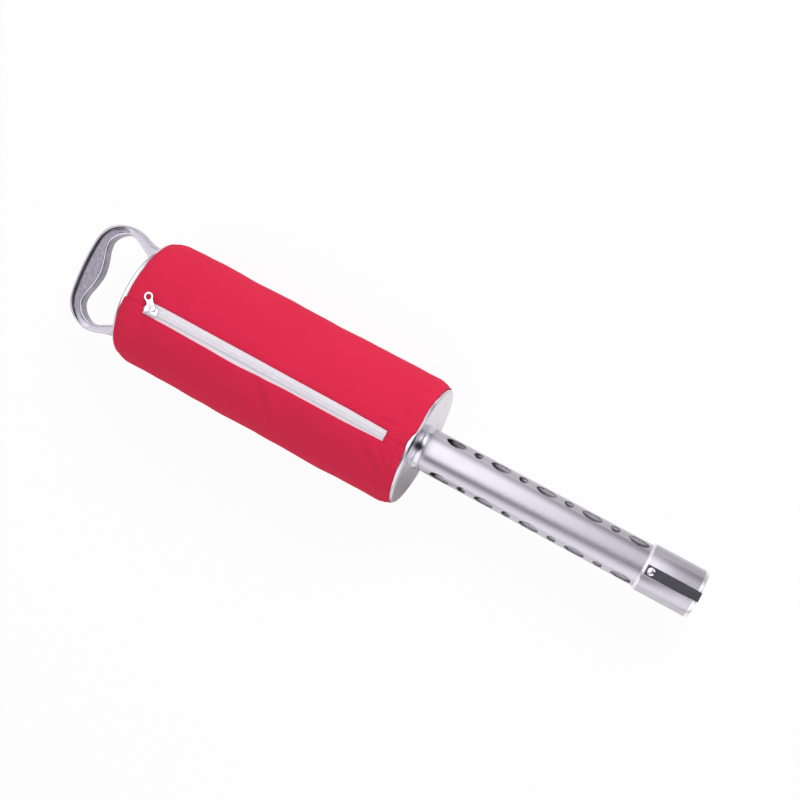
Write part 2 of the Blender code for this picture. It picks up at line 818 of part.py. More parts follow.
def make_zipper():
    for name, side in (("left", 1), ("right", -1)):
        ends = (ZIP_START - TAPE_OVERLAP, ZIP_END + TAPE_OVERLAP)
        tape = along_tool("zipper_tape_" + name, tape_section(side), *ends)
        finish(tape, "zipper_tape_" + name, WHITE_TAPE)
        section = coil_section(side)
        coil = along_tool("zipper_coil_" + name, section, ZIP_START + CLEARANCE, ZIP_END - CLEARANCE)
        finish(coil, "zipper_coil_" + name, WHITE_COIL)


def slider_plate_outline(length, front, rear):
    """The shield outline of a slider plate: wide at the end that faces the handle, narrow behind."""
    half = length / 2
    side = [
        (half, rear * 0.34),
        (half * 0.85, rear / 2),
        (0, front * 0.46),
        (-half * 0.6, front / 2),
        (-half * 0.87, front * 0.42),
        (-half, front * 0.25),
    ]
    return [(x, -y) for x, y in side[::-1]] + side


def make_zipper_slider():
    """Two plates joined by the wedge between the coil rows, with a bridge on top for the pull tab."""
    at = place(SLIDER_STATION)
    under_top = TAPE_TOP - TAPE_THICKNESS - 2 * CLEARANCE
    outline = slider_plate_outline(SLIDER_LENGTH, SLIDER_FRONT_WIDTH, SLIDER_REAR_WIDTH)
    under_outline = slider_plate_outline(
        SLIDER_LENGTH - 2 * UNDERPLATE_INSET,
        SLIDER_FRONT_WIDTH - UNDERPLATE_INSET,
        SLIDER_REAR_WIDTH - UNDERPLATE_INSET,
    )
    top_at = at @ Matrix.Translation((0, 0, SLIDER_TOP - SLIDER_PLATE / 2))
    under_at = at @ Matrix.Translation((0, 0, under_top - SLIDER_PLATE / 2))
    top = flat_shape("zipper_slider", [outline], SLIDER_PLATE, top_at)
    under = flat_shape("slider_underplate", [under_outline], SLIDER_PLATE, under_at)
    wedge_half = SLIDER_SLIT / 2 - CLEARANCE
    wedge_end = -SLIDER_LENGTH / 2 + WEDGE_SETBACK
    wedge = box(
        "slider_wedge",
        (wedge_end, -wedge_half, under_top - SLIDER_PLATE / 2),
        (wedge_end + WEDGE_LENGTH, wedge_half, SLIDER_TOP - SLIDER_PLATE / 2),
        at,
    )
    cut(top, under, "UNION")
    cut(top, wedge, "UNION")
    span = BRIDGE_SPAN / 2
    outer_span = span + BRIDGE_BAR
    crown = SLIDER_TOP + BRIDGE_HEIGHT
    bridge = [
        (BRIDGE_OFFSET - outer_span, SLIDER_TOP - SLIDER_PLATE / 2),
        (BRIDGE_OFFSET - outer_span, crown + BRIDGE_BAR / 2),
        (BRIDGE_OFFSET - span, crown + BRIDGE_BAR),
        (BRIDGE_OFFSET + span, crown + BRIDGE_BAR),
        (BRIDGE_OFFSET + outer_span, crown + BRIDGE_BAR / 2),
        (BRIDGE_OFFSET + outer_span, SLIDER_TOP - SLIDER_PLATE / 2),
        (BRIDGE_OFFSET + span, SLIDER_TOP - SLIDER_PLATE / 2),
        (BRIDGE_OFFSET + span, crown),
        (BRIDGE_OFFSET - span, crown),
        (BRIDGE_OFFSET - span, SLIDER_TOP - SLIDER_PLATE / 2),
    ]
    upright = Matrix.Rotation(math.pi / 2, 4, "X")
    cut(top, flat_shape("slider_bridge", [bridge], BRIDGE_WIDTH, at @ upright), "UNION")
    return finish(as_solid(top), "zipper_slider", CHROME)


def make_zipper_pull_tab():
    """The tab's crossbar lies under the slider's bridge, and its origin is on the crossbar."""
    half = PULL_WIDTH / 2
    eye = PULL_EYE_WIDTH / 2
    bar = PULL_CROSSBAR / 2
    waist = PULL_LENGTH - PULL_RING_RADIUS
    outline = [(-bar, -half + bar), (0, -half), (0.3 * waist, -half), (waist, -half * 0.93)]
    for i in range(9):
        turn = math.radians(-120 + 240 * i / 8)
        outline.append((PULL_LENGTH + PULL_RING_RADIUS * math.cos(turn), PULL_RING_RADIUS * math.sin(turn)))
    outline += [(waist, half * 0.93), (0.3 * waist, half), (0, half), (-bar, half - bar)]
    eye_end = bar + PULL_EYE_LENGTH
    eye_hole = [(bar, -eye), (bar, eye), (eye_end, eye * 0.8), (eye_end, -eye * 0.8)]
    ring_hole = circle(PULL_RING_HOLE, SMALL_HOLE_SIDES, PULL_LENGTH)
    under_bridge = place(SLIDER_STATION + BRIDGE_OFFSET, 0, SLIDER_TOP + BRIDGE_HEIGHT / 2)
    matrix = under_bridge @ Matrix.Rotation(math.pi - PULL_YAW, 4, "Z")
    tab = flat_shape("zipper_pull_tab", [outline, eye_hole, ring_hole], PULL_THICKNESS, matrix)
    return finish(tab, "zipper_pull_tab", CHROME)


# Pickup tube and its mouth


def finger_angle(i):
    return TUBE_TURN + 2 * math.pi * i / FINGERS


def hole_cutters():
    """Rods for the tube's holes. Each row lies midway between two fingers, and large and small take turns."""
    count = int((TUBE_REACH - FIRST_HOLE - LAST_HOLE_MARGIN) / HOLE_PITCH + 1e-6) + 1
    placed = []
    for row in range(HOLE_ROWS):
        angle = TUBE_TURN + 2 * math.pi * (row + 0.5) / HOLE_ROWS
        for i in range(count):
            matrix = place(NECK_END + FIRST_HOLE + i * HOLE_PITCH, angle, TUBE_BORE / 2)
            if i % 2 == 0:
                stretch = LARGE_HOLE_LENGTH / LARGE_HOLE_WIDTH
                placed.append((matrix, LARGE_HOLE_WIDTH / 2, TUBE_RADIUS, LARGE_HOLE_SIDES, stretch))
            else:
                placed.append((matrix, SMALL_HOLE_WIDTH / 2, TUBE_RADIUS, SMALL_HOLE_SIDES, 1))
    return placed


def make_pickup_tube():
    tube = turned("pickup_tube", tube_outline(TUBE_START, TUBE_END, TUBE_BORE, TUBE_RADIUS), place(0))
    cut(tube, rods("tube_holes", hole_cutters()))
    rivets = [(rivet_place(i), RIVET_SHANK_RADIUS) for i in range(FINGERS)]
    cut(tube, screw_holes("tube_rivet_holes", rivets, TUBE_RADIUS))
    return finish(tube, "pickup_tube", ALUMINIUM)


def make_mouth_sleeve():
    chamfer = MOUTH_CHAMFER
    outline = [
        (MOUTH, SOCKET_BORE),
        (MOUTH, SLEEVE_RADIUS - chamfer),
        (MOUTH - chamfer, SLEEVE_RADIUS),
        (SLEEVE_START + STEP_LENGTH, SLEEVE_RADIUS),
        (SLEEVE_START, TUBE_RADIUS + 2 * CLEARANCE),
        (SLEEVE_START, SOCKET_BORE),
    ]
    sleeve = turned("mouth_sleeve", outline, place(0))
    half = FINGER_WIDTH / 2 + CLEARANCE
    for i in range(FINGERS):
        low = (SLEEVE_START + FINGER_START - CLEARANCE, -half, TUBE_RADIUS / 2)
        high = (TOOL_END + FINGER_OVERHANG, half, 2 * TUBE_RADIUS)
        cut(sleeve, box("finger_slot", low, high, place(0, finger_angle(i))))
    return finish(sleeve, "mouth_sleeve", TURNED_ALUMINIUM)


def rivet_place(i):
    """A frame on a rivet's axis, inside the tube."""
    return place(RIVET_STATION, finger_angle(i), TUBE_BORE / 2)


def finger_outline():
    """The side view of a finger as (distance from its rivet, radius): a flat strip on the tube, and past the
    tube's end a nose that reaches into the mouth."""
    start = FINGER_START + SLEEVE_START - RIVET_STATION
    end = TOOL_END - RIVET_STATION
    past_tube = TUBE_END - RIVET_STATION
    base = SOCKET_BORE
    top = base + FINGER_THICKNESS
    nose = BALL_RADIUS - NOSE_GRIP
    nose_start = past_tube + NOSE_SETBACK
    nose_end = nose_start + NOSE_LENGTH
    rounding = FINGER_THICKNESS / 2
    return [
        (start, base),
        (past_tube + NOSE_SETBACK / 4, base),
        (nose_start - rounding, nose + rounding),
        (nose_start, nose),
        (nose_end, nose),
        (end - rounding / 2, base - rounding),
        (end, base + rounding / 2),
        (end - rounding / 3, top - rounding / 2),
        (end - rounding, top),
        (start, top),
    ]


def make_retainer_fingers():
    """Each finger turns about its rivet when a ball pushes its nose out, so its origin is on the rivet."""
    upright = Matrix.Rotation(math.pi / 2, 4, "X")
    hinge = SOCKET_BORE + FINGER_THICKNESS / 2
    outline = [(along, radius - hinge) for along, radius in finger_outline()]
    for i in range(FINGERS):
        name = f"retainer_finger_{i + 1}"
        frame = place(RIVET_STATION, finger_angle(i), hinge)
        finger = flat_shape(name, [outline], FINGER_WIDTH, frame @ upright)
        cut(finger, screw_holes("finger_rivet_hole", [(rivet_place(i), RIVET_SHANK_RADIUS)], TUBE_RADIUS))
        finish(finger, name, BLACK_RUBBER)


def make_finger_rivets():
    under_head = SOCKET_BORE + FINGER_THICKNESS + CLEARANCE
    outline = screw_outline(RIVET_SHANK_RADIUS, under_head - TUBE_BORE, RIVET_HEAD_RADIUS, RIVET_DOME)
    head_out = Matrix.Rotation(-math.pi / 2, 4, "Y")
    for i in range(FINGERS):
        name = f"finger_rivet_{i + 1}"
        matrix = place(RIVET_STATION, finger_angle(i), under_head) @ head_out
        finish(turned(name, outline, matrix, FASTENER_STEPS, ring=False), name, CHROME)


def add_joint_empty(name, location, pieces):
    """An empty on a joint's axis that carries the pieces that move on it."""
    empty = bpy.data.objects.new(name, None)
    PARTS.objects.link(empty)
    empty.location = location
    bpy.context.view_layer.update()
    for piece in pieces:
        placed = piece.matrix_world.copy()
        piece.parent = empty
        piece.matrix_parent_inverse = empty.matrix_world.inverted()
        piece.matrix_world = placed


def main():
    make_handle()
    make_top_end_plate()
    make_bottom_end_plate()
    make_hem_hoops()
    make_handle_screws()
    make_plug_screws()
    make_tube_plug()
    make_inner_tube()
    make_neck_socket()
    make_bag_sleeve()
    make_zipper()
    slider = make_zipper_slider()
    tab = make_zipper_pull_tab()
    make_pickup_tube()
    make_mouth_sleeve()
    make_retainer_fingers()
    make_finger_rivets()
    on_tube = [
        piece
        for piece in PARTS.objects
        if piece.name.startswith(("pickup_tube", "mouth_sleeve", "retainer_finger", "finger_rivet"))
    ]
    add_joint_empty("tube_slide_axis", on_axis(NECK_END), on_tube)
    add_joint_empty("zipper_slide_axis", place(SLIDER_STATION, 0, COIL_TOP).translation, [slider, tab])


main()
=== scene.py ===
import math

import bmesh
import bpy
from mathutils import Matrix, Vector, noise


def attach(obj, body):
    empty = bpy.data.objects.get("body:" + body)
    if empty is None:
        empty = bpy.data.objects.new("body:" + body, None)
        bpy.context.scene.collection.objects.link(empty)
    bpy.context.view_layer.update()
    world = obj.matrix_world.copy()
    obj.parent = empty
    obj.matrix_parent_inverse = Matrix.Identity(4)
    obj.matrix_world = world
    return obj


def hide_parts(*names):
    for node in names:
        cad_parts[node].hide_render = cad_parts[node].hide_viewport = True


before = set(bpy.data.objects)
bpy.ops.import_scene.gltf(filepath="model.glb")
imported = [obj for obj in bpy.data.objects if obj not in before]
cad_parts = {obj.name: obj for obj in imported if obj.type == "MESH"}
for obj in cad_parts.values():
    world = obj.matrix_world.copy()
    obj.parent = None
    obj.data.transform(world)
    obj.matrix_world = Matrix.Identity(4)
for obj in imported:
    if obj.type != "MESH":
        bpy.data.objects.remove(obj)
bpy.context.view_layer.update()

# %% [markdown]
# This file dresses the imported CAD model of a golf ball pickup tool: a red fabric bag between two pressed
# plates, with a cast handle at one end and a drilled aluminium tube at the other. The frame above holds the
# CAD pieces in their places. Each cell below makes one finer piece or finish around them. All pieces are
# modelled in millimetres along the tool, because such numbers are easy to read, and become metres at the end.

# %% [markdown]
# A place on the tool is a station, which is the distance from the outer face of the top plate, an angle
# around the tool's axis, and a distance from the axis. The bag lies on the ground, so the axis is one plate
# radius and a layer of cloth above it. All radii and stations in this file are those of the CAD model.

# %% Places on the tool, in millimetres
AXIS_HEIGHT = 67.6
GROUND = -AXIS_HEIGHT
TOP_PLATE_AT = -285.0
TO_ROW = Matrix.Translation((TOP_PLATE_AT / 1000, 0, AXIS_HEIGHT / 1000)) @ Matrix.Scale(0.001, 4)


print("the axis is", AXIS_HEIGHT, "mm above the ground, and the top plate at", TOP_PLATE_AT, "mm along X")


def around(station, angle=0.0, radius=0.0):
    """A frame at this place, with its Z away from the axis and its X along it."""
    turned = Matrix.Translation((station, 0, 0)) @ Matrix.Rotation(-angle, 4, "X")
    return turned @ Matrix.Translation((0, 0, radius))


# %% [markdown]
# Most of the tool was turned, pressed or extruded, so a few shapes make nearly all of it: an outline spun
# about the axis, a flat outline given a thickness, and a grid moved point by point onto a curved surface.
# Each is made as a bmesh, because that can be changed point by point, and one helper then turns it into an
# object: it scales it to metres, shades it, and says which body it rides on and which CAD pieces it replaces.


# %% From a shape to a piece
def as_mesh(work):
    """The shape as a mesh. The work itself is freed."""
    mesh = bpy.data.meshes.new("work")
    work.to_mesh(mesh)
    work.free()
    return mesh


def place_piece(name, work, finish, replaced, body="bag_frame", sharp=35):
    """Makes the shape an object in metres that rides on a body and stands for CAD nodes."""
    bmesh.ops.transform(work, matrix=TO_ROW, verts=work.verts)
    mesh = as_mesh(work)
    mesh.name = name
    mesh.shade_smooth()
    mesh.set_sharp_from_angle(angle=math.radians(sharp))
    mesh.materials.append(finish)
    piece = bpy.data.objects.new(name, mesh)
    bpy.context.scene.collection.objects.link(piece)
    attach(piece, body)
    if replaced:
        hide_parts(*replaced)
    print(name, len(mesh.polygons), "faces")
    return piece


# %% [markdown]
# The finishes are shader trees. Written node by node they are long and hard to follow, so a small class lets
# them be written as sums instead: adding two wires adds a Math node behind the scenes.


# %% A wire of a shader tree
class Wire:
    """An output of a shader node. Sums written with wires add Math nodes to their tree."""

    def __init__(self, tree, socket=None):
        self.tree = tree
        self.socket = socket

    def node(self, kind, settings=None, inputs=None, output=0):
        """Adds a node, with its settings first and then the values or wires of its inputs."""
        made = self.tree.nodes.new("ShaderNode" + kind)
        for name, value in (settings or {}).items():
            if name == "stops":
                while len(made.color_ramp.elements) < len(value):
                    made.color_ramp.elements.new(1)
                for element, (position, colour) in zip(made.color_ramp.elements, value):
                    element.position = position
                    element.color = colour
            else:
                setattr(made, name, value)
        for name, value in (inputs or {}).items():
            if isinstance(value, Wire):
                self.tree.links.new(value.socket, made.inputs[name])
            else:
                made.inputs[name].default_value = value
        return Wire(self.tree, made.outputs[output] if made.outputs else None)

    def math(self, operation, *values):
        return self.node("Math", {"operation": operation}, dict(enumerate((self, *values))))

    def __add__(self, other):
        return self.math("ADD", other)

    def __mul__(self, other):
        return self.math("MULTIPLY", other)

    def __sub__(self, other):
        return self.math("SUBTRACT", other)

    def __rsub__(self, other):
        return self * -1 + other

    def __pow__(self, other):
        return self.math("POWER", other)

    __radd__ = __add__
    __rmul__ = __mul__


def blend(factor, first, second):
    """A colour between two, by a factor from 0 to 1."""
    inputs = {0: factor, 6: first, 7: second}
    return factor.node("Mix", {"data_type": "RGBA"}, inputs, output=2)


def parts(vector):
    """The three numbers of a vector."""
    return [vector.node("SeparateXYZ", None, {0: vector}, output=i) for i in range(3)]


def noise_at(x, y, z=0.0, detail=2.0):
    """Smooth noise from 0 to 1, one blob to a unit of these coordinates."""
    place = x.node("CombineXYZ", None, {0: x, 1: y, 2: z})
    return x.node("TexNoise", None, {"Vector": place, "Scale": 1.0, "Detail": detail})


def bump(height, depth):
    """The normal of a surface with this relief, whose full height is the depth in metres."""
    return height.node("Bump", None, {"Height": height, "Distance": depth, "Strength": 1.0})


def new_finish(name, fixed, draw):
    """A material whose even values are fixed, and whose varying ones come from the wires that draw makes."""
    material = bpy.data.materials.new(name)
    material.use_nodes = True
    shader = material.node_tree.nodes["Principled BSDF"]
    for socket, value in fixed.items():
        shader.inputs[socket].default_value = value
    for socket, wire in draw(Wire(material.node_tree)).items():
        material.node_tree.links.new(wire.socket, shader.inputs[socket])
    print(name, "has", len(material.node_tree.nodes), "nodes")
    return material


# %% [markdown]
# The bag is a plain weave of red polyester. Its threads cross about every half millimetre: where a warp
# thread lies on top, the surface has that thread's round back, and beside it the weft's. The pattern follows
# the cloth as it was cut, from a UV map in metres, so it turns with every fold.

# %% Red cloth
RED = (0.83, 0.031, 0.088, 1)
DEEP_RED = (0.63, 0.018, 0.054, 1)
THREAD = 0.00055


def weave(across, along, pitch):
    """The height of a plain weave, from 0 between the threads to 1 on their backs."""
    warp = (across * (math.pi / pitch)).math("SINE")
    weft = (along * (math.pi / pitch)).math("SINE")
    over = (warp * weft).math("GREATER_THAN", 0.0)
    return over * warp.math("ABSOLUTE") + (1 - over) * weft.math("ABSOLUTE")


def draw_red_cloth(start):
    across, along, _ = parts(start.node("UVMap", {"uv_map": "cut"}))
    threads = weave(across, along, THREAD)
    slubs = noise_at(across * 60, along * 1500) * 0.5 + noise_at(across * 1500, along * 60, 7.0) * 0.5
    clouds = noise_at(across * 14, along * 14, 3.0)
    # The attribute below is painted shade: darker in the seam's dent between the zipper's ends and the hems,
    # and along the hems' stitches.
    crease = start.node("Attribute", {"attribute_name": "crease"}, output="Fac")
    # The base colour is darker in the gaps between threads, a painted shade, and also varies with the cloth's
    # own slubs and clouds.
    tone_and_painted_shade = 0.12 * (1 - threads) + 0.35 * slubs + 0.3 * clouds + 0.75 * crease - 0.1
    return {
        "Base Color": blend(tone_and_painted_shade, RED, DEEP_RED),
        "Roughness": 0.78 + 0.1 * slubs,
        "Normal": bump(threads + 0.6 * slubs, 0.00007),
    }


SHEEN = {"Sheen Weight": 0.06, "Sheen Roughness": 0.5, "Sheen Tint": (0.9, 0.1, 0.16, 1)}
RED_CLOTH = new_finish("red_cloth", {**SHEEN, "Specular IOR Level": 0.1}, draw_red_cloth)


def draw_red_thread(start):
    x, y, z = parts(start.node("TexCoord", output="Object"))
    twist = ((x + y + z) * 9000).math("SINE")
    return {
        "Base Color": blend(0.5 + 0.5 * twist, (0.55, 0.02, 0.05, 1), (0.72, 0.03, 0.075, 1)),
        "Normal": bump(twist, 0.00003),
    }


RED_THREAD = new_finish("red_thread", {"Roughness": 0.6}, draw_red_thread)

# %% [markdown]
# The zipper has white woven tapes, with a faint rib along them, and a row of nylon teeth on each. Nylon is
# smoother than the tape, so its finish is glossier, with a thin coat.


# %% Zipper finishes
def draw_tape(start):
    across, along, _ = parts(start.node("UVMap", {"uv_map": "cut"}))
    ribs = weave(across, along * 0.5, 0.0006)
    soiling = noise_at(across * 90, along * 40, 1.0)
    # The gaps between the ribs are darker, a painted shade; the soiling is the tape's own.
    tone_and_painted_shade = 0.45 * soiling + 0.4 * (1 - ribs)
    return {
        "Base Color": blend(tone_and_painted_shade, (0.99, 0.95, 1.0, 1), (0.88, 0.83, 0.93, 1)),
        "Normal": bump(ribs, 0.00006),
    }


TAPE_CLOTH = new_finish("tape_cloth", {"Roughness": 0.8, "Sheen Weight": 0.1}, draw_tape)


def draw_nylon(start):
    x, y, _ = parts(start.node("TexCoord", output="Object"))
    streaks = noise_at(x * 900, y * 300)
    return {
        "Base Color": blend(streaks, (1.0, 0.97, 1.0, 1), (0.92, 0.89, 0.96, 1)),
        "Roughness": 0.3 + 0.2 * streaks,
    }


NYLON = new_finish("white_nylon", {"Coat Weight": 0.1}, draw_nylon)

# %% [markdown]
# Drawn aluminium tube is satin: the die leaves very fine lines along it, and anodising clouds it a little.
# The sleeve at the mouth was turned on a lathe, so its lines run round it, and its two slopes are painted
# near white as a highlight.
# Both patterns are noise that is stretched along the tool or round it, on the place along the tool and the
# turn about its axis.

# %% Aluminium
STEP_SLOPE_END = 0.31242
CHAMFER_START = 0.36632


def round_tool(start):
    """The station in metres, the turn about the tool's axis in radians, and the distance from it."""
    x, y, z = parts(start.node("TexCoord", output="Object"))
    up = z - AXIS_HEIGHT / 1000
    return x, y.math("ARCTAN2", up), (y * y + up * up) ** 0.5


def scuffs(x, turn, height=0.5):
    """Sparse short scratches, from 0 to 1."""
    wander = noise_at(x * 30, turn * 3, 5.0)
    marks = noise_at(x * 260 + wander * 9, turn * 90 + x * 400, 2.0, 0.0)
    return (marks.math("GREATER_THAN", 0.73)) * height


def draw_tube(start):
    x, turn, _ = round_tool(start)
    drawn = noise_at(x * 25, turn * 160)
    clouds = noise_at(x * 35, turn * 3, 4.0)
    return {
        "Base Color": blend(0.5 * clouds + 0.4 * drawn, (0.67, 0.65, 0.70, 1), (0.57, 0.55, 0.60, 1)),
        "Roughness": 0.17 + 0.08 * drawn + 0.06 * clouds + 0.12 * scuffs(x, turn),
        "Normal": bump(drawn, 0.000012),
    }


DRAWN_ALUMINIUM = new_finish("drawn_aluminium", {"Metallic": 1.0}, draw_tube)


def draw_turned(start):
    x, turn, _ = round_tool(start)
    turned = noise_at(x * 4000, turn * 2)
    clouds = noise_at(x * 60, turn * 2, 4.0)
    # The two slopes are given a near-white colour, which is a painted highlight.
    sloping = x.math("GREATER_THAN", CHAMFER_START) + x.math("LESS_THAN", STEP_SLOPE_END)
    plain = blend(0.6 * clouds + 0.4 * turned, (0.66, 0.64, 0.69, 1), (0.55, 0.53, 0.58, 1))
    return {
        "Base Color": blend(sloping, plain, (0.98, 0.96, 0.99, 1)),
        "Roughness": 0.2 + 0.1 * turned + 0.08 * clouds,
        "Normal": bump(turned, 0.00002),
    }


TURNED_ALUMINIUM = new_finish("turned_aluminium", {"Metallic": 1.0}, draw_turned)

# %% [markdown]
# The end plates are pressed steel with a bright zinc coat. Zinc is nearly a mirror but never quite even, so
# the roughness drifts in soft clouds, and tiny ripples from the press bend the reflections. The handle is a
# rough casting, mottled in its recess and polished where it is worn, by a value that its points carry.


# %% Steel, chrome and cast metal
def draw_plating(start):
    x, turn, out = round_tool(start)
    clouds = noise_at(x * 30 + turn * 3, out * 60)
    specks = noise_at(x * 900, turn * 60, out * 900)
    return {
        "Base Color": blend(clouds, (0.80, 0.79, 0.84, 1), (0.69, 0.68, 0.73, 1)),
        "Roughness": 0.08 + 0.08 * clouds + 0.05 * specks,
        "Normal": bump(clouds + 0.1 * specks, 0.00004),
    }


ZINC_PLATE = new_finish("zinc_plated_steel", {"Metallic": 1.0}, draw_plating)


def grain(start, count):
    """Noise through the whole piece, with this many blobs to a metre."""
    x, y, z = parts(start.node("TexCoord", output="Object"))
    return noise_at(x * count, y * count, z * count)


def draw_cast(start):
    clouds = grain(start, 60)
    worn = start.node("Attribute", {"attribute_name": "worn"}, output="Fac")
    mottled = blend(2.4 * grain(start, 260) - 0.7, (0.20, 0.19, 0.225, 1), (0.31, 0.295, 0.335, 1))
    return {
        "Base Color": blend(worn, mottled, (0.56, 0.545, 0.60, 1)),
        "Roughness": 0.22 + 0.16 * clouds - 0.08 * worn,
        "Normal": bump(0.25 * grain(start, 1400) + 0.75 * clouds, 0.00012),
    }


CAST_METAL = new_finish("cast_metal", {"Metallic": 1.0}, draw_cast)


def grainy(name, count, first, second, roughness, spread, relief=0.0, metallic=1.0):
    """A finish whose colour, roughness and relief all follow one even grain."""

    def draw(start):
        fine = grain(start, count)
        look = {"Base Color": blend(fine, first, second), "Roughness": roughness + spread * fine}
        return {**look, "Normal": bump(fine, relief)} if relief else look

    return new_finish(name, {"Metallic": metallic}, draw)


CHROME = grainy("chrome", 500, (0.9, 0.9, 0.93, 1), (0.8, 0.8, 0.84, 1), 0.07, 0.1)
SCREW_STEEL = grainy("screw_steel", 1800, (0.55, 0.55, 0.58, 1), (0.42, 0.42, 0.45, 1), 0.25, 0.15)

# %% [markdown]
# The fingers at the mouth are black rubber strips, dull and a little dusty. The plug that closes the inner
# tube is grey moulded plastic with a fine grain.


# %% Rubber and plastic
def draw_rubber(start):
    fine = grain(start, 1500)
    return {
        "Base Color": blend(0.6 * grain(start, 120), (0.045, 0.043, 0.055, 1), (0.1, 0.098, 0.115, 1)),
        "Roughness": 0.5 + 0.2 * fine,
        "Normal": bump(fine, 0.00004),
    }


RUBBER = new_finish("black_rubber", {"Specular IOR Level": 0.4}, draw_rubber)


PLASTIC_LOOK = ((0.34, 0.34, 0.36, 1), (0.4, 0.4, 0.42, 1), 0.42, 0.14, 0.00003)
GREY_PLASTIC = grainy("grey_plastic", 1200, *PLASTIC_LOOK, metallic=0.0)

# %% [markdown]
# The bag starts as the tailor's flat cut: a grid in millimetres round the bag and along it, with the zipper's
# opening taken out. The grid's lines are closer near the hems and the opening, where the cloth bends most.
# Neither the opening nor the hems are quite straight, because hand-fed cloth never is: the hems' edges draw
# back from the plates near the zipper, where each has a notch.

# %% The flat cut of the bag
CLOTH_RADIUS = 71.0
HALF_AROUND = math.pi * CLOTH_RADIUS
HEMS = (2.5, 340.0)
HEM_EDGES = (
    # (round, station) of the top hem's edge, and then of the bottom hem's
    [(-223, 2.5), (-110, 1.8), (-60, 1.8), (-35, 2.0), (-15, 2.1), (-7, 2.7), (-1.5, 2.9), (0, 5.0),
     (3.6, 5.2), (7.4, 4.9), (12.4, 4.6), (36, 4.5), (50, 3.5), (68, 3.1), (99, 1.8), (223, 2.5)],
    [(-223, 339.2), (-75, 340.2), (-48, 340.0), (-26, 339.3), (-12, 338.9), (-6, 338.6), (1.5, 337.5),
     (6.1, 337.1), (14.1, 338.5), (19.8, 340.3), (25, 340.5), (33, 340.3), (42, 339.6), (51, 339.0),
     (64, 339.2), (77, 339.9), (104, 340.0), (223, 339.2)],
)
HEM_STITCHES = 7.2
ZIP_START = 29.0
ZIP_END = 315.0
SLOT_HALF = 7.6
SLOT_EDGES = {
    # on each side, (station, distance of the opening's edge from its middle)
    1: [(29, 7.6), (60, 7.7), (142, 7.4), (205, 7.0), (266, 6.8), (290, 6.3), (315, 5.8)],
    -1: [(29, 7.6), (60, 7.6), (100, 8.2), (142, 9.2), (175, 8.0), (205, 7.1), (266, 7.1), (315, 5.8)],
}


def lines(*stops):
    """Evenly spaced values between each two stops, with a count given after each stop but the last."""
    found = []
    for start, count, end in zip(stops[0::2], stops[1::2], stops[2::2]):
        found += [start + (end - start) * i / count for i in range(count)]
    return found + [stops[-1]]


def smooth(x):
    """0 below 0 and 1 above 1, with an even curve between them."""
    x = min(max(x, 0.0), 1.0)
    return x * x * (3 - 2 * x)


def between(table, x):
    """Reads a table of (x, value) rows, with an even curve from row to row."""
    for (low, first), (high, second) in zip(table, table[1:]):
        if x <= high:
            return first + (second - first) * smooth((x - low) / (high - low))
    return table[-1][1]


half_lines = lines(0, 6, SLOT_HALF, 14, 24, 84, HALF_AROUND)
across_lines = [-x for x in half_lines[:0:-1]] + half_lines
station_lines = lines(HEMS[0], 10, HEMS[0] + 10, 11, ZIP_START, 140, ZIP_END, 11, HEMS[1] - 10, 10, HEMS[1])


def slot_line(across, station):
    """Moves a line of the flat cut so that the opening's edges follow their table."""
    side = 1 if across > 0 else -1
    edge = between(SLOT_EDGES[side], station)
    if abs(across) <= SLOT_HALF:
        return across * edge / SLOT_HALF
    reach = 30.0
    fading = 1 - smooth((abs(across) - SLOT_HALF) / reach)
    return across + side * (edge - SLOT_HALF) * fading


def hem_line(across, station):
    """Moves the outer lines of the flat cut so that the hems' edges follow their tables."""
    top, bottom = (between(table, across) for table in HEM_EDGES)
    reach = 22.0
    if station < HEMS[0] + reach:
        return top + (station - HEMS[0]) * (HEMS[0] + reach - top) / reach
    if station > HEMS[1] - reach:
        return bottom + (station - HEMS[1]) * (bottom - HEMS[1] + reach) / reach
    return station


print("the flat cut has", len(across_lines), "lines round it and", len(station_lines), "along it")

# %% [markdown]
# On the tool, the cloth is pulled over two round plates and tied down at both hems, so it is a drum that is
# tight at its ends and slack between them. Its shape is a radius for each place: the drum, a low ridge where
# the two panels meet at the zipper, small gathers that die away from the hems, and the soft folds that the
# cloth keeps. A cloth simulation could find folds, but their places are known here, so they are written down.

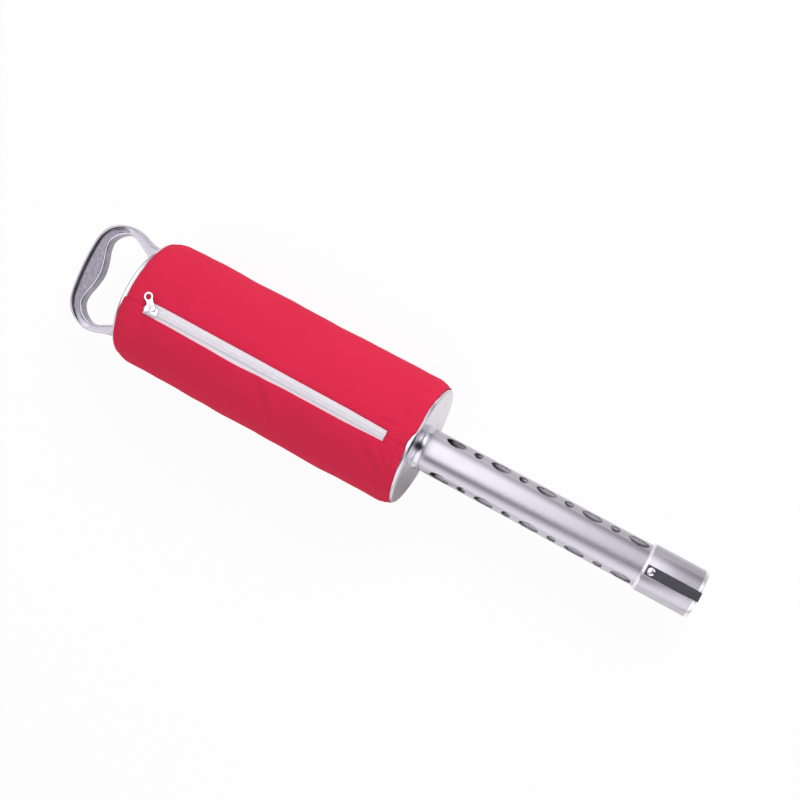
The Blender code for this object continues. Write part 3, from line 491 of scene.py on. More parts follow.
# %% The shape of the cloth
PLATE_SPACING = 341.5
HEM_RADIUS = 67.0
FABRIC = 0.6
FOLDS = [
    # (round, station, angle of the fold in degrees from the tool's axis, length, width, height)
    (32, 18, 50, 10, 3.5, -1.4),
    (39, 65, 75, 16, 5, 1.5),
    (19, 63, 50, 9, 2.5, -1.4),
    (17, 77, 60, 7, 2.5, 1.1),
    (43, 82, 80, 22, 6, -1.3),
    (62, 120, 65, 34, 8, 1.0),
    (75, 190, 40, 38, 9.5, -1.0),
    (50, 235, 55, 30, 9, 0.9),
    (-27, 180, -57, 26, 5.5, -1.7),
    (-34, 196, -55, 24, 5.5, 1.3),
    (-60, 95, -35, 36, 9.5, 0.9),
    (-30, 306, -44, 24, 3.5, -1.6),
    (-24, 316, -46, 20, 3, 1.4),
    (-31, 326, -50, 18, 3, -1.3),
    (14, 310, 8, 10, 2, -1.6),
    (21, 314, 20, 12, 2.5, 1.3),
    (27, 322, 35, 10, 2.5, -1.0),
    (80, 314, 20, 12, 5, 1.1),
    (86, 323, 0, 8, 5, -1.5),
    (64, 322, 15, 10, 3.5, -0.9),
    (-75, 318, -20, 14, 5, -1.1),
    (110, 60, 30, 40, 14, 0.9),
    (-120, 150, -40, 42, 15, 0.9),
    (130, 220, 35, 40, 16, -0.9),
    (-105, 250, 30, 36, 14, 0.8),
    (40, 329, -30, 7, 2.5, -0.9),
    (54, 327, 20, 8, 3, 0.8),
    (68, 330, 55, 6, 2.5, -0.8),
    (-14, 327, -60, 7, 2.5, -0.8),
    (-45, 327, -25, 9, 3, -1.0),
    (-60, 329, 15, 7, 2.5, 0.9),
    (26, 12, -20, 6, 2.5, -0.7),
    (54, 13, 30, 7, 3, -0.8),
    (-22, 14, 40, 7, 3, -0.7),
    (24, 46, 62, 12, 3, -0.8),
    (58, 290, 70, 16, 4, -0.9),
    (36, 268, 60, 16, 4, 0.9),
    (-48, 60, -70, 14, 4, -0.8),
    (-40, 240, -62, 16, 4.5, -0.9),
]


def wavy(x, y, z):
    """Smooth noise from -1 to 1."""
    return noise.noise(Vector((x, y, z)))


def hem_distance(station):
    """How far a place is from the nearer edge of the flat cut."""
    return min(station - HEMS[0], HEMS[1] - station)


def drum(station):
    """The cloth's radius without its folds: a hem on the plate's rim, a shoulder and a straight side."""
    shoulder = 14 if station > PLATE_SPACING / 2 else 11
    rise = min(max((hem_distance(station) - 2.0) / shoulder, 0.0), 1.0)
    over_rim = max(3.0 - station, station - PLATE_SPACING + 3.0, 0.0)
    return HEM_RADIUS + (CLOTH_RADIUS - HEM_RADIUS) * (1 - (1 - rise) ** 2.2) - 0.2 * over_rim


def ridge(turn):
    """The two panels meet at a blunt angle and are flatter beside it than a circle is."""
    away = abs(turn)
    fallen = 3.4 * (1 - max(1 - away / 0.8, 0.0) ** 3)
    return 0.8 - fallen + 2.6 * smooth((away - 0.6) / 0.97)


def gathers(turn, station):
    """Folds that run away from each hem, with the hem as their highest point but for the tied edge."""
    bottom = station > PLATE_SPACING / 2
    near = hem_distance(station)
    reach = 15 if bottom else 10
    size = (1.5 if turn < 0 else 0.9) if bottom else 0.7
    wave = wavy(math.cos(turn) * 7.5, math.sin(turn) * 7.5, 4.0 * bottom + station / 90)
    fine = wavy(math.cos(turn) * 17, math.sin(turn) * 17, 9.0 + 4.0 * bottom)
    rise = min(near / 6, 1.0)
    return size * rise * (wave * math.exp(-near / reach) + 0.5 * fine * math.exp(-near / (0.5 * reach)))


def soft_folds(across, station):
    """The height that all the written folds have together at a place."""
    total = 0.0
    for centre, at, angle, length, width, height in FOLDS:
        x, y = station - at, across - centre
        if abs(x) > 3 * length or abs(y) > 3 * length:
            continue
        turn = math.radians(angle)
        along = x * math.cos(turn) + y * math.sin(turn)
        aside = y * math.cos(turn) - x * math.sin(turn)
        total += height * math.exp(-((along / length) ** 2) - (aside / width) ** 2)
    return total


def bell(x, width):
    """1 at 0, falling away evenly on both sides and nearly 0 at twice the width."""
    return math.exp(-((x / width) ** 2))


def crease(across, station):
    """The seam between the zipper's ends and the hems, from 0 beside it to 1 in it."""
    if ZIP_START < station < ZIP_END:
        return 0.0
    return bell(across, 1.1)


def pressed_edge(across, station):
    """How far the opening's stitched edge is drawn down onto the tape."""
    side = 1 if across > 0 else -1
    beside = abs(across) - between(SLOT_EDGES[side], station)
    ends = smooth((station - ZIP_START + 6) / 6) * smooth((ZIP_END + 6 - station) / 6)
    return -ends * bell(max(beside, 0), 3.2)


def hem_fold(across, station):
    """The hem is two layers thick up to its stitches."""
    near = min(station - between(HEM_EDGES[0], across), between(HEM_EDGES[1], across) - station)
    return 0.45 * (1 - smooth((near - 6.5) / 1.2)) - 0.4 * bell(near - HEM_STITCHES, 0.8)


def cloth_point(across, station):
    """Where a place of the flat cut lies on the tool."""
    turn = across / CLOTH_RADIUS
    near = hem_distance(station)
    wander = 9.0 * wavy(across / 40, station / 40, 2.0)
    crumple = wavy(math.cos(turn) * 4 + wander / 30, math.sin(turn) * 4, station / 22)
    drift = wavy(math.cos(turn) * 1.5, math.sin(turn) * 1.5, station / 75)
    loose = 1.0
    if ZIP_START < station < ZIP_END:
        loose -= 0.85 * bell(max(abs(across) - SLOT_HALF, 0), 6)
    radius = drum(station) + ridge(turn) * (0.03 + 0.97 * smooth(near / 30))
    radius += gathers(turn, station) + soft_folds(across, station) * smooth(near / 8) * loose
    radius += smooth((near - 4) / 30) * (0.5 * crumple + 0.5 * drift) * loose
    radius += pressed_edge(across, station) + hem_fold(across, station)
    radius -= 0.8 * crease(across, station) * smooth(near / 3 + 0.3)
    radius += 0.3 * bell(abs(across) - 3.5, 2.2) * crease(0, station)
    height = radius * math.cos(turn)
    flat = GROUND + 0.25
    rounding = 2.5
    gap = max(rounding - abs(height - flat), 0) / rounding
    height = max(height, flat) + gap * gap * rounding / 4
    return Vector((station, radius * math.sin(turn), height))


print("the cloth is", round(drum(170), 1), "mm from the axis midway, and has", len(FOLDS), "written folds")

# %% [markdown]
# Now the flat cut is rolled into the bag. The grid carries its flat coordinates into the UV map first, then
# each of its points goes to its place on the tool, and the two long sides are welded underneath. A modifier
# gives the sheet its thickness, because that keeps the cut itself a simple surface.


# %% The bag cloth
def chart_cut(work, across=0, along=1):
    """Writes each point's place in metres to the UV map. The numbers say which coordinates to take."""
    chart = work.loops.layers.uv.new("cut")
    for face in work.faces:
        for corner in face.loops:
            place = corner.vert.co
            corner[chart].uv = (place[across] / 1000, place[along] / 1000)


def cut_cloth():
    """The flat cut, with its places in a UV map in metres."""
    work = bmesh.new()
    columns, rows = len(across_lines) - 1, len(station_lines) - 1
    bmesh.ops.create_grid(work, x_segments=columns, y_segments=rows, size=0.5)
    for point in work.verts:
        column, row = round((point.co.x + 0.5) * columns), round((point.co.y + 0.5) * rows)
        point.co = (across_lines[column], station_lines[row], 0)
    middles = [(face, face.calc_center_median()) for face in work.faces]
    waste = [face for face, at in middles if abs(at.x) < SLOT_HALF and ZIP_START < at.y < ZIP_END]
    bmesh.ops.delete(work, geom=waste, context="FACES")
    chart_cut(work)
    return work


def closed_up(work):
    """Merges points that lie in one place, and then turns all faces outwards."""
    bmesh.ops.remove_doubles(work, verts=work.verts, dist=0.001)
    bmesh.ops.recalc_face_normals(work, faces=work.faces)
    return work


def roll_cloth(work):
    """Takes the flat cut to its place round the tool. Each point carries painted shade at the seam and
    stitches.
    """
    # This layer holds painted shade for the seam's dent and the hems' stitch lines.
    depth = work.verts.layers.float.new("crease")
    for point in work.verts:
        across, station = slot_line(point.co.x, point.co.y), hem_line(point.co.x, point.co.y)
        stitched = bell(hem_distance(point.co.y) - HEM_STITCHES, 0.6)
        point[depth] = min(0.45 * crease(across, station) + 0.1 * stitched, 1.0)
        point.co = cloth_point(across, station)
    return closed_up(work)


def give_thickness(piece, thickness):
    """Adds the inner side of a sheet and its edges."""
    modifier = piece.modifiers.new("Thickness", "SOLIDIFY")
    modifier.thickness = thickness / 1000
    modifier.offset = -1


rolled = roll_cloth(cut_cloth())
bag = place_piece("bag_cloth", rolled, RED_CLOTH, ["bag_sleeve"], sharp=60)
give_thickness(bag, FABRIC)

# %% [markdown]
# Stitches hold the hems and the zipper. Each is a short bead of thread laid on the cloth, with a gap to the
# next. One small stretched sphere of a few faces serves for all of them.


# %% Stitches
def stitch_row(places, pitch=2.6, length=1.9, thickness=0.36):
    """The frames of the stitches along a row of (across, station) places on the cloth."""
    found = []
    points = [cloth_point(*place) for place in places]
    travelled = 0.0
    for first, second in zip(points, points[1:]):
        step = (second - first).length
        travelled += step
        if travelled < pitch or step == 0:
            continue
        travelled -= pitch
        forward = (second - first).normalized()
        outward = Vector((0, first.y, first.z)).normalized()
        aside = forward.cross(outward).normalized()
        outward = aside.cross(forward)
        turn = Matrix((forward, aside, outward)).transposed().to_4x4()
        size = Matrix.Diagonal((length / 2, thickness / 2, thickness / 2, 1))
        found.append(Matrix.Translation(first + outward * 0.06) @ turn @ size)
    return found


def walk(first, second, step=0.4):
    """Places from one (across, station) to another."""
    count = max(int((Vector(second) - Vector(first)).length / step), 1)
    return [tuple(Vector(first).lerp(Vector(second), i / count)) for i in range(count + 1)]


def bead(around_it, along_it):
    """A small ball of few faces, to be stretched into stitches and teeth."""
    work = bmesh.new()
    bmesh.ops.create_uvsphere(work, u_segments=around_it, v_segments=along_it, radius=1)
    return work


def copies(shape, places):
    """Copies of a small shape, one at each of these frames."""
    base = as_mesh(shape)
    work = bmesh.new()
    for place in places:
        mesh = base.copy()
        mesh.transform(place)
        work.from_mesh(mesh)
        bpy.data.meshes.remove(mesh)
    bpy.data.meshes.remove(base)
    return work


def sew_bag():
    """Both hems, both sides of the opening and its two ends."""
    places = []
    beside = 2.0
    for row in (HEMS[0] + HEM_STITCHES, HEMS[1] - HEM_STITCHES):
        round_it = lines(4 - HALF_AROUND, 1100, HALF_AROUND - 4)
        places += stitch_row([(across, hem_line(across, row)) for across in round_it])
    for side in (1, -1):
        down = lines(ZIP_START - beside, 700, ZIP_END + beside)
        places += stitch_row([(side * (between(SLOT_EDGES[side], s) + beside), s) for s in down])
    for station, half in ((ZIP_START - beside, 9.0), (ZIP_END + beside, 7.6)):
        places += stitch_row(walk((-half, station), (half, station)))
    return copies(bead(6, 4), places)


place_piece("bag_stitching", sew_bag(), RED_THREAD, [])

# %% [markdown]
# The zipper's tapes lie under the opening, bent round the bag. Each is a narrow woven band whose inner edge
# carries the teeth. The tapes show as a white strip between the red edges, and follow the cloth's underside
# where it dips, because they are sewn to it.

# %% Zipper tapes
TAPE_TOP = 69.5
TAPE_INNER = 0.8
TAPE_WIDTH = 12.5
TAPE_THICKNESS = 0.5
TAPE_ENDS = (25.0, 319.0)


def skin(columns, rows, shape):
    """A grid of faces whose points go to shape(across, along), where both run from 0 to 1."""
    work = bmesh.new()
    bmesh.ops.create_grid(work, x_segments=columns, y_segments=rows, size=0.5)
    for point in work.verts:
        point.co = shape(point.co.x + 0.5, point.co.y + 0.5)
    return work


def tape(side):
    """One tape, with a low welt beside its teeth and its places in a UV map in metres."""

    def shape(across, along):
        y = TAPE_INNER + TAPE_WIDTH * across
        station = TAPE_ENDS[0] + (TAPE_ENDS[1] - TAPE_ENDS[0]) * along
        welt = 0.12 * bell(y - 3.7, 0.35)
        ripple = 0.08 * wavy(station / 9, y / 5, side)
        over = cloth_point(side * max(y, between(SLOT_EDGES[side], station)), station)
        below_cloth = math.hypot(over.y, over.z) - 0.55
        radius = min(TAPE_TOP + welt + ripple - 0.1, below_cloth)
        return Vector((station, side * y, math.sqrt(radius**2 - y**2)))

    work = skin(30, 220, shape)
    chart_cut(work, across=1, along=0)
    bmesh.ops.recalc_face_normals(work, faces=work.faces)
    if work.faces[:][0].normal.z < 0:
        bmesh.ops.reverse_faces(work, faces=work.faces)
    return work


SIDES = ((1, "left"), (-1, "right"))
for side, word in SIDES:
    stands_for = ["zipper_tape_" + word]
    piece = place_piece("tape_cloth_" + word, tape(side), TAPE_CLOTH, stands_for)
    give_thickness(piece, TAPE_THICKNESS)

# %% [markdown]
# The teeth are loops of a nylon coil. Seen from above, each loop is a short bar with a thicker head, and the
# heads of the two rows reach past each other. A stretched sphere makes the bar and a smaller one its head.

# %% Zipper teeth
TOOTH_PITCH = 1.27
TEETH_ENDS = (29.6, 315.4)
TEETH_MIDDLE = 70.7
BAR_AND_HEAD = [
    # (distance from the middle, half length, half width, half height)
    (1.65, 1.45, 0.6, 0.74),
    (0.35, 0.65, 0.62, 0.8),
]


def teeth(side):
    """One row of teeth. The other row is half a tooth behind."""
    places = []
    for i in range(int((TEETH_ENDS[1] - TEETH_ENDS[0]) / TOOTH_PITCH)):
        station = TEETH_ENDS[0] + (i + 0.25 + 0.25 * side) * TOOTH_PITCH
        for y, half, width, height in BAR_AND_HEAD:
            at = Matrix.Translation((station, side * y, TEETH_MIDDLE))
            places.append(at @ Matrix.Diagonal((width, half, height, 1)))
    return copies(bead(8, 5), places)


for side, word in SIDES:
    place_piece("teeth_" + word, teeth(side), NYLON, ["zipper_coil_" + word])

# %% [markdown]
# The slider is die cast and plated: a shield-shaped top plate with side flanges, a bridge over it, and an
# underplate and a wedge that nobody sees. Its parts are outlines with a thickness. Sharp edges reflect
# nothing, so all but the wedge's are rounded. The bridge is drawn from the side and stood upright.

# %% Zipper slider
SLIDER_AT = 38.5
SLIDER_BASE = 71.9
SLIDER_TOP = 73.2
UPRIGHT = Matrix.Rotation(math.pi / 2, 4, "X")


def shield(length, front, rear):
    """The outline of a slider plate, wide towards the handle."""
    half = length / 2
    narrow = [(1, 0.30), (0.95, 0.42), (0.82, 0.5), (0.35, 0.56)]
    wide = [(0, 0.45), (-0.35, 0.495), (-0.62, 0.5), (-0.8, 0.46), (-0.93, 0.36), (-1, 0.22)]
    side = [(half * x, rear * y) for x, y in narrow] + [(half * x, front * y) for x, y in wide]
    return [(x, -y) for x, y in side[::-1]] + side


def prism(outline, low, high, matrix=Matrix.Identity(4)):
    """A flat outline of (x, y) points given a thickness along Z, in the frame of the matrix."""
    work = bmesh.new()
    face = work.faces.new([work.verts.new((x, y, low)) for x, y in outline])
    made = bmesh.ops.extrude_face_region(work, geom=[face])
    moved = [item for item in made["geom"] if isinstance(item, bmesh.types.BMVert)]
    bmesh.ops.translate(work, verts=moved, vec=(0, 0, high - low))
    bmesh.ops.transform(work, matrix=matrix, verts=work.verts)
    bmesh.ops.recalc_face_normals(work, faces=work.faces)
    return work


def soften(work, width, segments=2, limit=30):
    """Rounds the edges at which two faces meet at more than this angle in degrees."""
    inner = [edge for edge in work.edges if len(edge.link_faces) == 2]
    sharp = [edge for edge in inner if edge.calc_face_angle() > math.radians(limit)]
    bmesh.ops.bevel(
        work, geom=sharp, offset=width, segments=segments, profile=0.5, affect="EDGES", material=-1,
        clamp_overlap=True,
    )
    return work


def joined(shapes):
    """One bmesh that holds several shapes."""
    work = bmesh.new()
    for shape in shapes:
        mesh = as_mesh(shape)
        work.from_mesh(mesh)
        bpy.data.meshes.remove(mesh)
    return work


def slider():
    """All the slider's parts, at its place on the chain."""
    top = soften(prism(shield(15.5, 10.5, 7.4), SLIDER_BASE, SLIDER_TOP), 0.5, 3, 50)
    under = soften(prism(shield(13.5, 9.5, 6.4), 67.0, 68.3), 0.3, 2, 50)
    wedge = prism([(-6.2, -0.5), (-2.2, -0.5), (-2.2, 0.5), (-6.2, 0.5)], 67.8, 72.4)
    shapes = [top, under, wedge]
    for side in (1, -1):
        flange = [(-5.5, 4.0), (-5.5, 4.9), (0, 4.4), (6.6, 3.6), (6.6, 3.1), (0, 3.5)]
        shapes.append(soften(prism([(x, side * y) for x, y in flange], 70.0, 72.3), 0.2, 2, 40))
    arch = [(-0.95, 72.6), (-0.95, 74.9), (-0.6, 75.5), (0.1, 75.9), (2.9, 75.9), (3.6, 75.5), (3.95, 74.9),
            (3.95, 72.6), (2.95, 72.6), (2.95, 74.6), (2.6, 75.0), (0.4, 75.0), (0.05, 74.6), (0.05, 72.6)]
    shapes.append(soften(prism(arch, -0.65, 0.65, UPRIGHT), 0.25, 2, 40))
    work = joined(shapes)
    bmesh.ops.translate(work, verts=work.verts, vec=(SLIDER_AT, 0, 0))
    return work


place_piece("slider_body", slider(), CHROME, ["zipper_slider"], "slider")

# %% [markdown]
# The pull tab is stamped from sheet: a narrow plate with an eye for the bridge at one end and a ring at the
# other. Its two holes are cut from the plate, and all its edges are rounded.


# %% Pull tab
def circle(radius, sides, x=0.0, y=0.0):
    turns = [2 * math.pi * i / sides for i in range(sides)]
    return [(x + radius * math.cos(turn), y + radius * math.sin(turn)) for turn in turns]


def cut_away(work, cutter):
    """The first shape without what lies in the second."""
    held = [bpy.data.objects.new("cut", as_mesh(part)) for part in (work, cutter)]
    for piece in held:
        bpy.context.scene.collection.objects.link(piece)
    modifier = held[0].modifiers.new("Cut", "BOOLEAN")
    modifier.operation = "DIFFERENCE"
    modifier.solver = "EXACT"
    modifier.object = held[1]
    bpy.context.view_layer.update()
    graph = bpy.context.evaluated_depsgraph_get()
    result = bmesh.new()
    result.from_mesh(held[0].evaluated_get(graph).data)
    for piece in held:
        mesh = piece.data
        bpy.data.objects.remove(piece)
        bpy.data.meshes.remove(mesh)
    return result


def pull_tab():
    length, ring, half = 15.0, 5.0, 3.8
    waist = length - ring
    side = [(-0.5, 3.3), (0.0, half), (4.0, half), (waist - 2.4, 3.6), (waist, 3.55)]
    turns = [math.radians(-130 + 260 * i / 24) for i in range(25)]
    ring_points = [(length + ring * math.cos(turn), ring * math.sin(turn)) for turn in turns]
    outline = [(x, -y) for x, y in side] + ring_points + side[::-1]
    plate = prism(outline, -0.45, 0.45)
    eye = prism([(0.6, -2.3), (3.9, -2.0), (4.1, -1.7), (4.1, 1.7), (3.9, 2.0), (0.6, 2.3)], -2, 2)
    hole = prism(circle(3.0, 32, length), -2, 2)
    plate = soften(cut_away(plate, joined([eye, hole])), 0.18, 2, 40)
    lie = around(40.0, 0, 74.1) @ Matrix.Rotation(math.pi - math.radians(48), 4, "Z")
    bmesh.ops.transform(plate, matrix=lie, verts=plate.verts)
    return plate


place_piece("pull_tab_plate", pull_tab(), CHROME, ["zipper_pull_tab"], "pull_tab", 30)

# %% [markdown]
# Each end plate is a pressed pan: a flat face, a rounded edge and a skirt with a groove for the hem's wire.
# The bottom plate's face is drawn up into a neck for the tube, with a small slope at its foot. Both are
# outlines of the sheet's two sides, spun about the axis. The faces stand a little out of the hems.

# %% End plates
PLATE_RADIUS = 66.0
SOCKET_BORE = 23.3
NECK_RADIUS = 24.2
NECK_END = 348.8
SHEET = 0.8
RIM_BEND = 2.4
RAISED = 1.4
GROOVE_DEPTH = 1.6
LINING = PLATE_RADIUS - SHEET


def spun(outline, closed=True, steps=160):
    """An outline of (station, radius) points turned once about the tool's axis."""
    work = bmesh.new()
    points = [work.verts.new((station, 0, radius)) for station, radius in outline]
    pairs = list(zip(points, points[1:]))
    if closed:
        pairs.append((points[-1], points[0]))
    edges = [work.edges.new(pair) for pair in pairs]
    bmesh.ops.spin(
        work, geom=points + edges, cent=(0, 0, 0), axis=(1, 0, 0), angle=2 * math.pi, steps=steps,
        use_merge=True,
    )
    return closed_up(work)


def pan(face, inward):
    """The outer and then the inner side of a plate's edge, groove and skirt."""

    def at(depth, radius):
        return (face + inward * depth, radius)

    def bent(bend, turns):
        rim, middle = PLATE_RADIUS - RIM_BEND, RIM_BEND - RAISED
        return [at(middle - bend * math.cos(t), rim + bend * math.sin(t)) for t in turns]

    floor = PLATE_RADIUS - GROOVE_DEPTH
    flank = PLATE_RADIUS - 0.3
    quarter = [math.pi / 2 * i / 8 for i in range(9)]
    outer = bent(RIM_BEND, quarter) + [at(5.2, PLATE_RADIUS), at(5.45, flank), at(5.7, floor + 0.2)]
    outer += [at(6.2, floor), at(6.7, floor + 0.2), at(7.1, flank), at(7.5, PLATE_RADIUS)]
    outer += [at(14, PLATE_RADIUS)]
    inner = [at(14, LINING), at(7.9, LINING), at(7.0, floor - 0.7), at(6.2, floor - SHEET)]
    inner += [at(5.4, floor - 0.7), at(4.5, LINING)] + bent(RIM_BEND - SHEET, quarter[::-1])
    return outer, inner


def top_plate():
    outer, inner = pan(0, 1)
    face = [(-RAISED, 0), (-RAISED, 12), (-RAISED, 45)]
    back = [(SHEET - RAISED, 45), (SHEET - RAISED, 0)]
    return spun(face + outer + inner + back, closed=False)


def bottom_plate():
    outer, inner = pan(PLATE_SPACING, -1)
    lip = NECK_RADIUS + 0.4
    neck = [(NECK_END, SOCKET_BORE), (NECK_END, lip - 0.25), (NECK_END - 0.2, lip), (NECK_END - 1.1, lip),
            (NECK_END - 1.5, NECK_RADIUS)]
    face = PLATE_SPACING + RAISED
    foot = [(face + 0.5, 25.3), (face + 0.15, 25.6), (face, 26.1)]
    back = [(face - SHEET, 45), (face - SHEET, SOCKET_BORE)]
    return spun(neck + foot + [(face, 45)] + outer + inner + back)


for word, plate in (("top", top_plate()), ("bottom", bottom_plate())):
    stands_for = [word + "_end_plate"]
    place_piece(f"pressed_{word}_plate", plate, ZINC_PLATE, stands_for, sharp=40)

# %% [markdown]
# The handle is a flat loop cast in one piece: two raised rims with a thinner web between them, wide at the
# grip and narrow in the arms. Its inner and outer edges are smooth curves, and the same cross-section,
# stretched to fit between them, is carried from one foot round to the other.

# %% The handle's edges
HANDLE_REACH = 86.0
HANDLE_HALF = 61.6
GRIP_DEPTH = 25.4
ARM_WIDTH = 8.6
HANDLE_ROWS = 220
OUTER_SHARES = [(1, 0), (0.983, 0.451), (0.942, 0.688), (0.86, 0.847), (0.738, 0.953), (0.599, 1),
                (0.459, 0.977), (0.279, 0.896)]
INNER_SHARES = [(1, 0), (1.035, 0.264), (1.097, 0.509), (1.102, 0.698), (1.031, 0.845), (0.924, 0.943),
                (0.789, 1), (0.652, 0.966), (0.479, 0.868), (0.33, 0.774)]


def curve_through(points, count):
    """A smooth curve through the points, as evenly spaced places along it."""
    dense = []
    for i in range(len(points) - 1):
        before, first = Vector(points[max(i - 1, 0)]), Vector(points[i])
        second, after = Vector(points[i + 1]), Vector(points[min(i + 2, len(points) - 1)])
        bend = 2 * before - 5 * first + 4 * second - after
        twist = 3 * first - before - 3 * second + after
        for t in [step / 12 for step in range(12)]:
            dense.append(0.5 * (2 * first + (second - before) * t + bend * t * t + twist * t**3))
    dense.append(Vector(points[-1]))
    reached = [0.0]
    for first, second in zip(dense, dense[1:]):
        reached.append(reached[-1] + (second - first).length)
    found = []
    at = 0
    for i in range(count + 1):
        goal = reached[-1] * i / count
        while at < len(dense) - 2 and reached[at + 1] < goal:
            at += 1
        share = (goal - reached[at]) / (reached[at + 1] - reached[at])
        found.append(dense[at].lerp(dense[at + 1], min(share, 1.0)))
    return found


def handle_edge(shares, reach, half, foot):
    """One whole edge of the loop, from the foot at -Y round to the foot at +Y."""
    side = [(-reach * x, half * y) for x, y in shares] + foot
    return curve_through([(x, -y) for x, y in side[:0:-1]] + side, HANDLE_ROWS)


outer_foot = [(-12, 54.9), (-3, 57), (-0.3, 57)]
inner_foot = [(-9, 35.1), (-3, 33), (-0.3, 33)]
inner_size = (HANDLE_REACH - GRIP_DEPTH, HANDLE_HALF - ARM_WIDTH)
outer_edge = handle_edge(OUTER_SHARES, HANDLE_REACH, HANDLE_HALF, outer_foot)
inner_edge = handle_edge(INNER_SHARES, *inner_size, inner_foot)
step = (outer_edge[1] - outer_edge[0]).length
print("the handle's outer edge is about", round(step * HANDLE_ROWS), "mm round")

# %% [markdown]
# The cross-section is half of an I-beam's outline and its mirror image. Both rims have round backs, and
# rounded corners lead down to the web, as in any casting. Towards the feet the web thickens until the arms
# are solid. Backs and arms are polished bright by hands and ground: each point carries how worn it is.

# %% The cast handle
RIM_HALF = 6.5
OUTER_RIM = 2.9
INNER_RIM = 3.9
RIM_ROUND = 1.5
WEB_HALF = 2.0
FULL_ROWS, ARM_ROWS = 44, 70


def rim_points(start, width, floor_first, floor_last):
    """The round back of a rim, from the lowest point on its outer side to that on its inner side."""
    found = []
    for turn in [math.radians(t) for t in (180, 160, 135, 110, 90, 70, 45, 20, 0)]:
        across = start + width / 2 * (1 + math.cos(turn))
        height = RIM_HALF - RIM_ROUND + RIM_ROUND * math.sin(turn)
        lowest = floor_first if turn > math.pi / 2 else floor_last
        found.append((across, max(height, lowest), 0.3 + 0.7 * math.sin(turn)))
    return found


def handle_section(width, web):
    """Half of the section as (distance from the outer edge, height, wear), for a loop this wide."""
    inner_start = width - INNER_RIM
    gap = inner_start - OUTER_RIM
    ease = min(1.5, gap * 0.42)
    lift = min(ease, max(RIM_HALF - RIM_ROUND - web, 0.0))
    turns = [math.radians(t) for t in (10, 35, 60, 90)]
    corner = [(ease * (1 - math.cos(turn)), web + lift * (1 - math.sin(turn))) for turn in turns]
    return (
        [(0.0, RIM_HALF - 3.2, 0.3)]
        + rim_points(0.0, OUTER_RIM, 0.0, web)
        + [(OUTER_RIM + x, height, 0.0) for x, height in corner]
        + [(OUTER_RIM + gap / 2, web, 0.05)]
        + [(inner_start - x, height, 0.0) for x, height in corner[::-1]]
        + rim_points(inner_start, INNER_RIM, web, 0.0)
        + [(width, RIM_HALF - 3.4, 0.3)]
    )


def cast_handle():
    """The section carried round the loop, solid in the rows near the feet."""
    ring = len(handle_section(20, 2)) * 2
    work = bmesh.new()
    bmesh.ops.create_grid(work, x_segments=ring, y_segments=HANDLE_ROWS, size=0.5)
    wear = work.verts.layers.float.new("worn")
    for point in work.verts:
        row = round((point.co.y + 0.5) * HANDLE_ROWS)
        column = round((point.co.x + 0.5) * ring) % ring
        outer, inner = outer_edge[row], inner_edge[row]
        width = (inner - outer).length
        solid = smooth((ARM_ROWS - min(row, HANDLE_ROWS - row)) / (ARM_ROWS - FULL_ROWS))
        half = handle_section(width, WEB_HALF + 4.2 * solid)
        mirrored = column >= len(half)
        aside, height, worn = half[ring - 1 - column] if mirrored else half[column]
        place = outer.lerp(inner, aside / width)
        point[wear] = max(worn, 0.8 * solid)
        point.co = (place.x, place.y, -height if mirrored else height)
    bmesh.ops.remove_doubles(work, verts=work.verts, dist=0.0001)
    ends = [edge for edge in work.edges if edge.is_boundary]
    bmesh.ops.holes_fill(work, edges=ends, sides=0)
    bmesh.ops.recalc_face_normals(work, faces=work.faces)
    return work


place_piece("loop_handle", cast_handle(), CAST_METAL, ["handle"], sharp=50)

# %% [markdown]
# The tube that picks up the balls is a length of thin aluminium tube. Three rows of holes show how full it
# is, and in each row an oval hole and a round one take turns. The holes are cut from the spun tube with rods,
# as a drill and a slot cutter would.

# %% Pickup tube
TUBE_BORE = 22.2
TUBE_RADIUS = 23.0
TUBE_TURN = math.radians(3.5)
FIRST_HOLE = 374.0
HOLE_PITCH = 25.8
HOLES_IN_ROW = 9
OVAL = (11, 6)
ROUND = (5, 5)
TUBE_ENDS = (317.5, 641)


def hole_rods():
    """A rod for each hole, from inside the tube outwards."""
    rods = []
    for row in range(3):
        angle = TUBE_TURN + 2 * math.pi * (row + 0.5) / 3
        for i in range(HOLES_IN_ROW):
            half = ROUND if i % 2 else OVAL
            outline = [(x * half[0], y * half[1]) for x, y in circle(1, 48)]
            rods.append(prism(outline, 8, 26, around(FIRST_HOLE + i * HOLE_PITCH, angle)))
    return joined(rods)


def pickup_tube():
    start, end = TUBE_ENDS
    wall = [(end, TUBE_BORE), (end, TUBE_RADIUS), (start, TUBE_RADIUS), (start, TUBE_BORE)]
    return soften(cut_away(spun(wall, steps=200), hole_rods()), 0.12, 1, 45)


tube = pickup_tube()
place_piece("tube_with_holes", tube, DRAWN_ALUMINIUM, ["pickup_tube"], "ball_tube", 40)

# %% [markdown]
# The mouth sleeve is a turned ring that stiffens the tube's end. It has a sloping step towards the tube, a
# bright chamfer at the mouth, and three slots, open at the mouth, for the rubber fingers.

# %% Mouth sleeve
SLEEVE_SIDE = [(655, 23.3), (655, 24.3), (654.8, 24.5), (651.4, 25.32), (650.9, 25.4), (597.4, 25.4),
               (597.0, 25.3), (594.9, 23.95), (594.6, 23.7), (594.6, 23.3)]
SLOT_ENDS = (598.5, 657)
SLOT_SIDE = 5.3


def finger_angle(i):
    return TUBE_TURN + 2 * math.pi * i / 3


def mouth_sleeve():
    start, end = SLOT_ENDS
    gap = [(start, -SLOT_SIDE), (end, -SLOT_SIDE), (end, SLOT_SIDE), (start, SLOT_SIDE)]
    slots = [prism(gap, 12, 46, around(0, finger_angle(i))) for i in range(3)]
    return soften(cut_away(spun(SLEEVE_SIDE, steps=200), joined(slots)), 0.15, 2, 40)


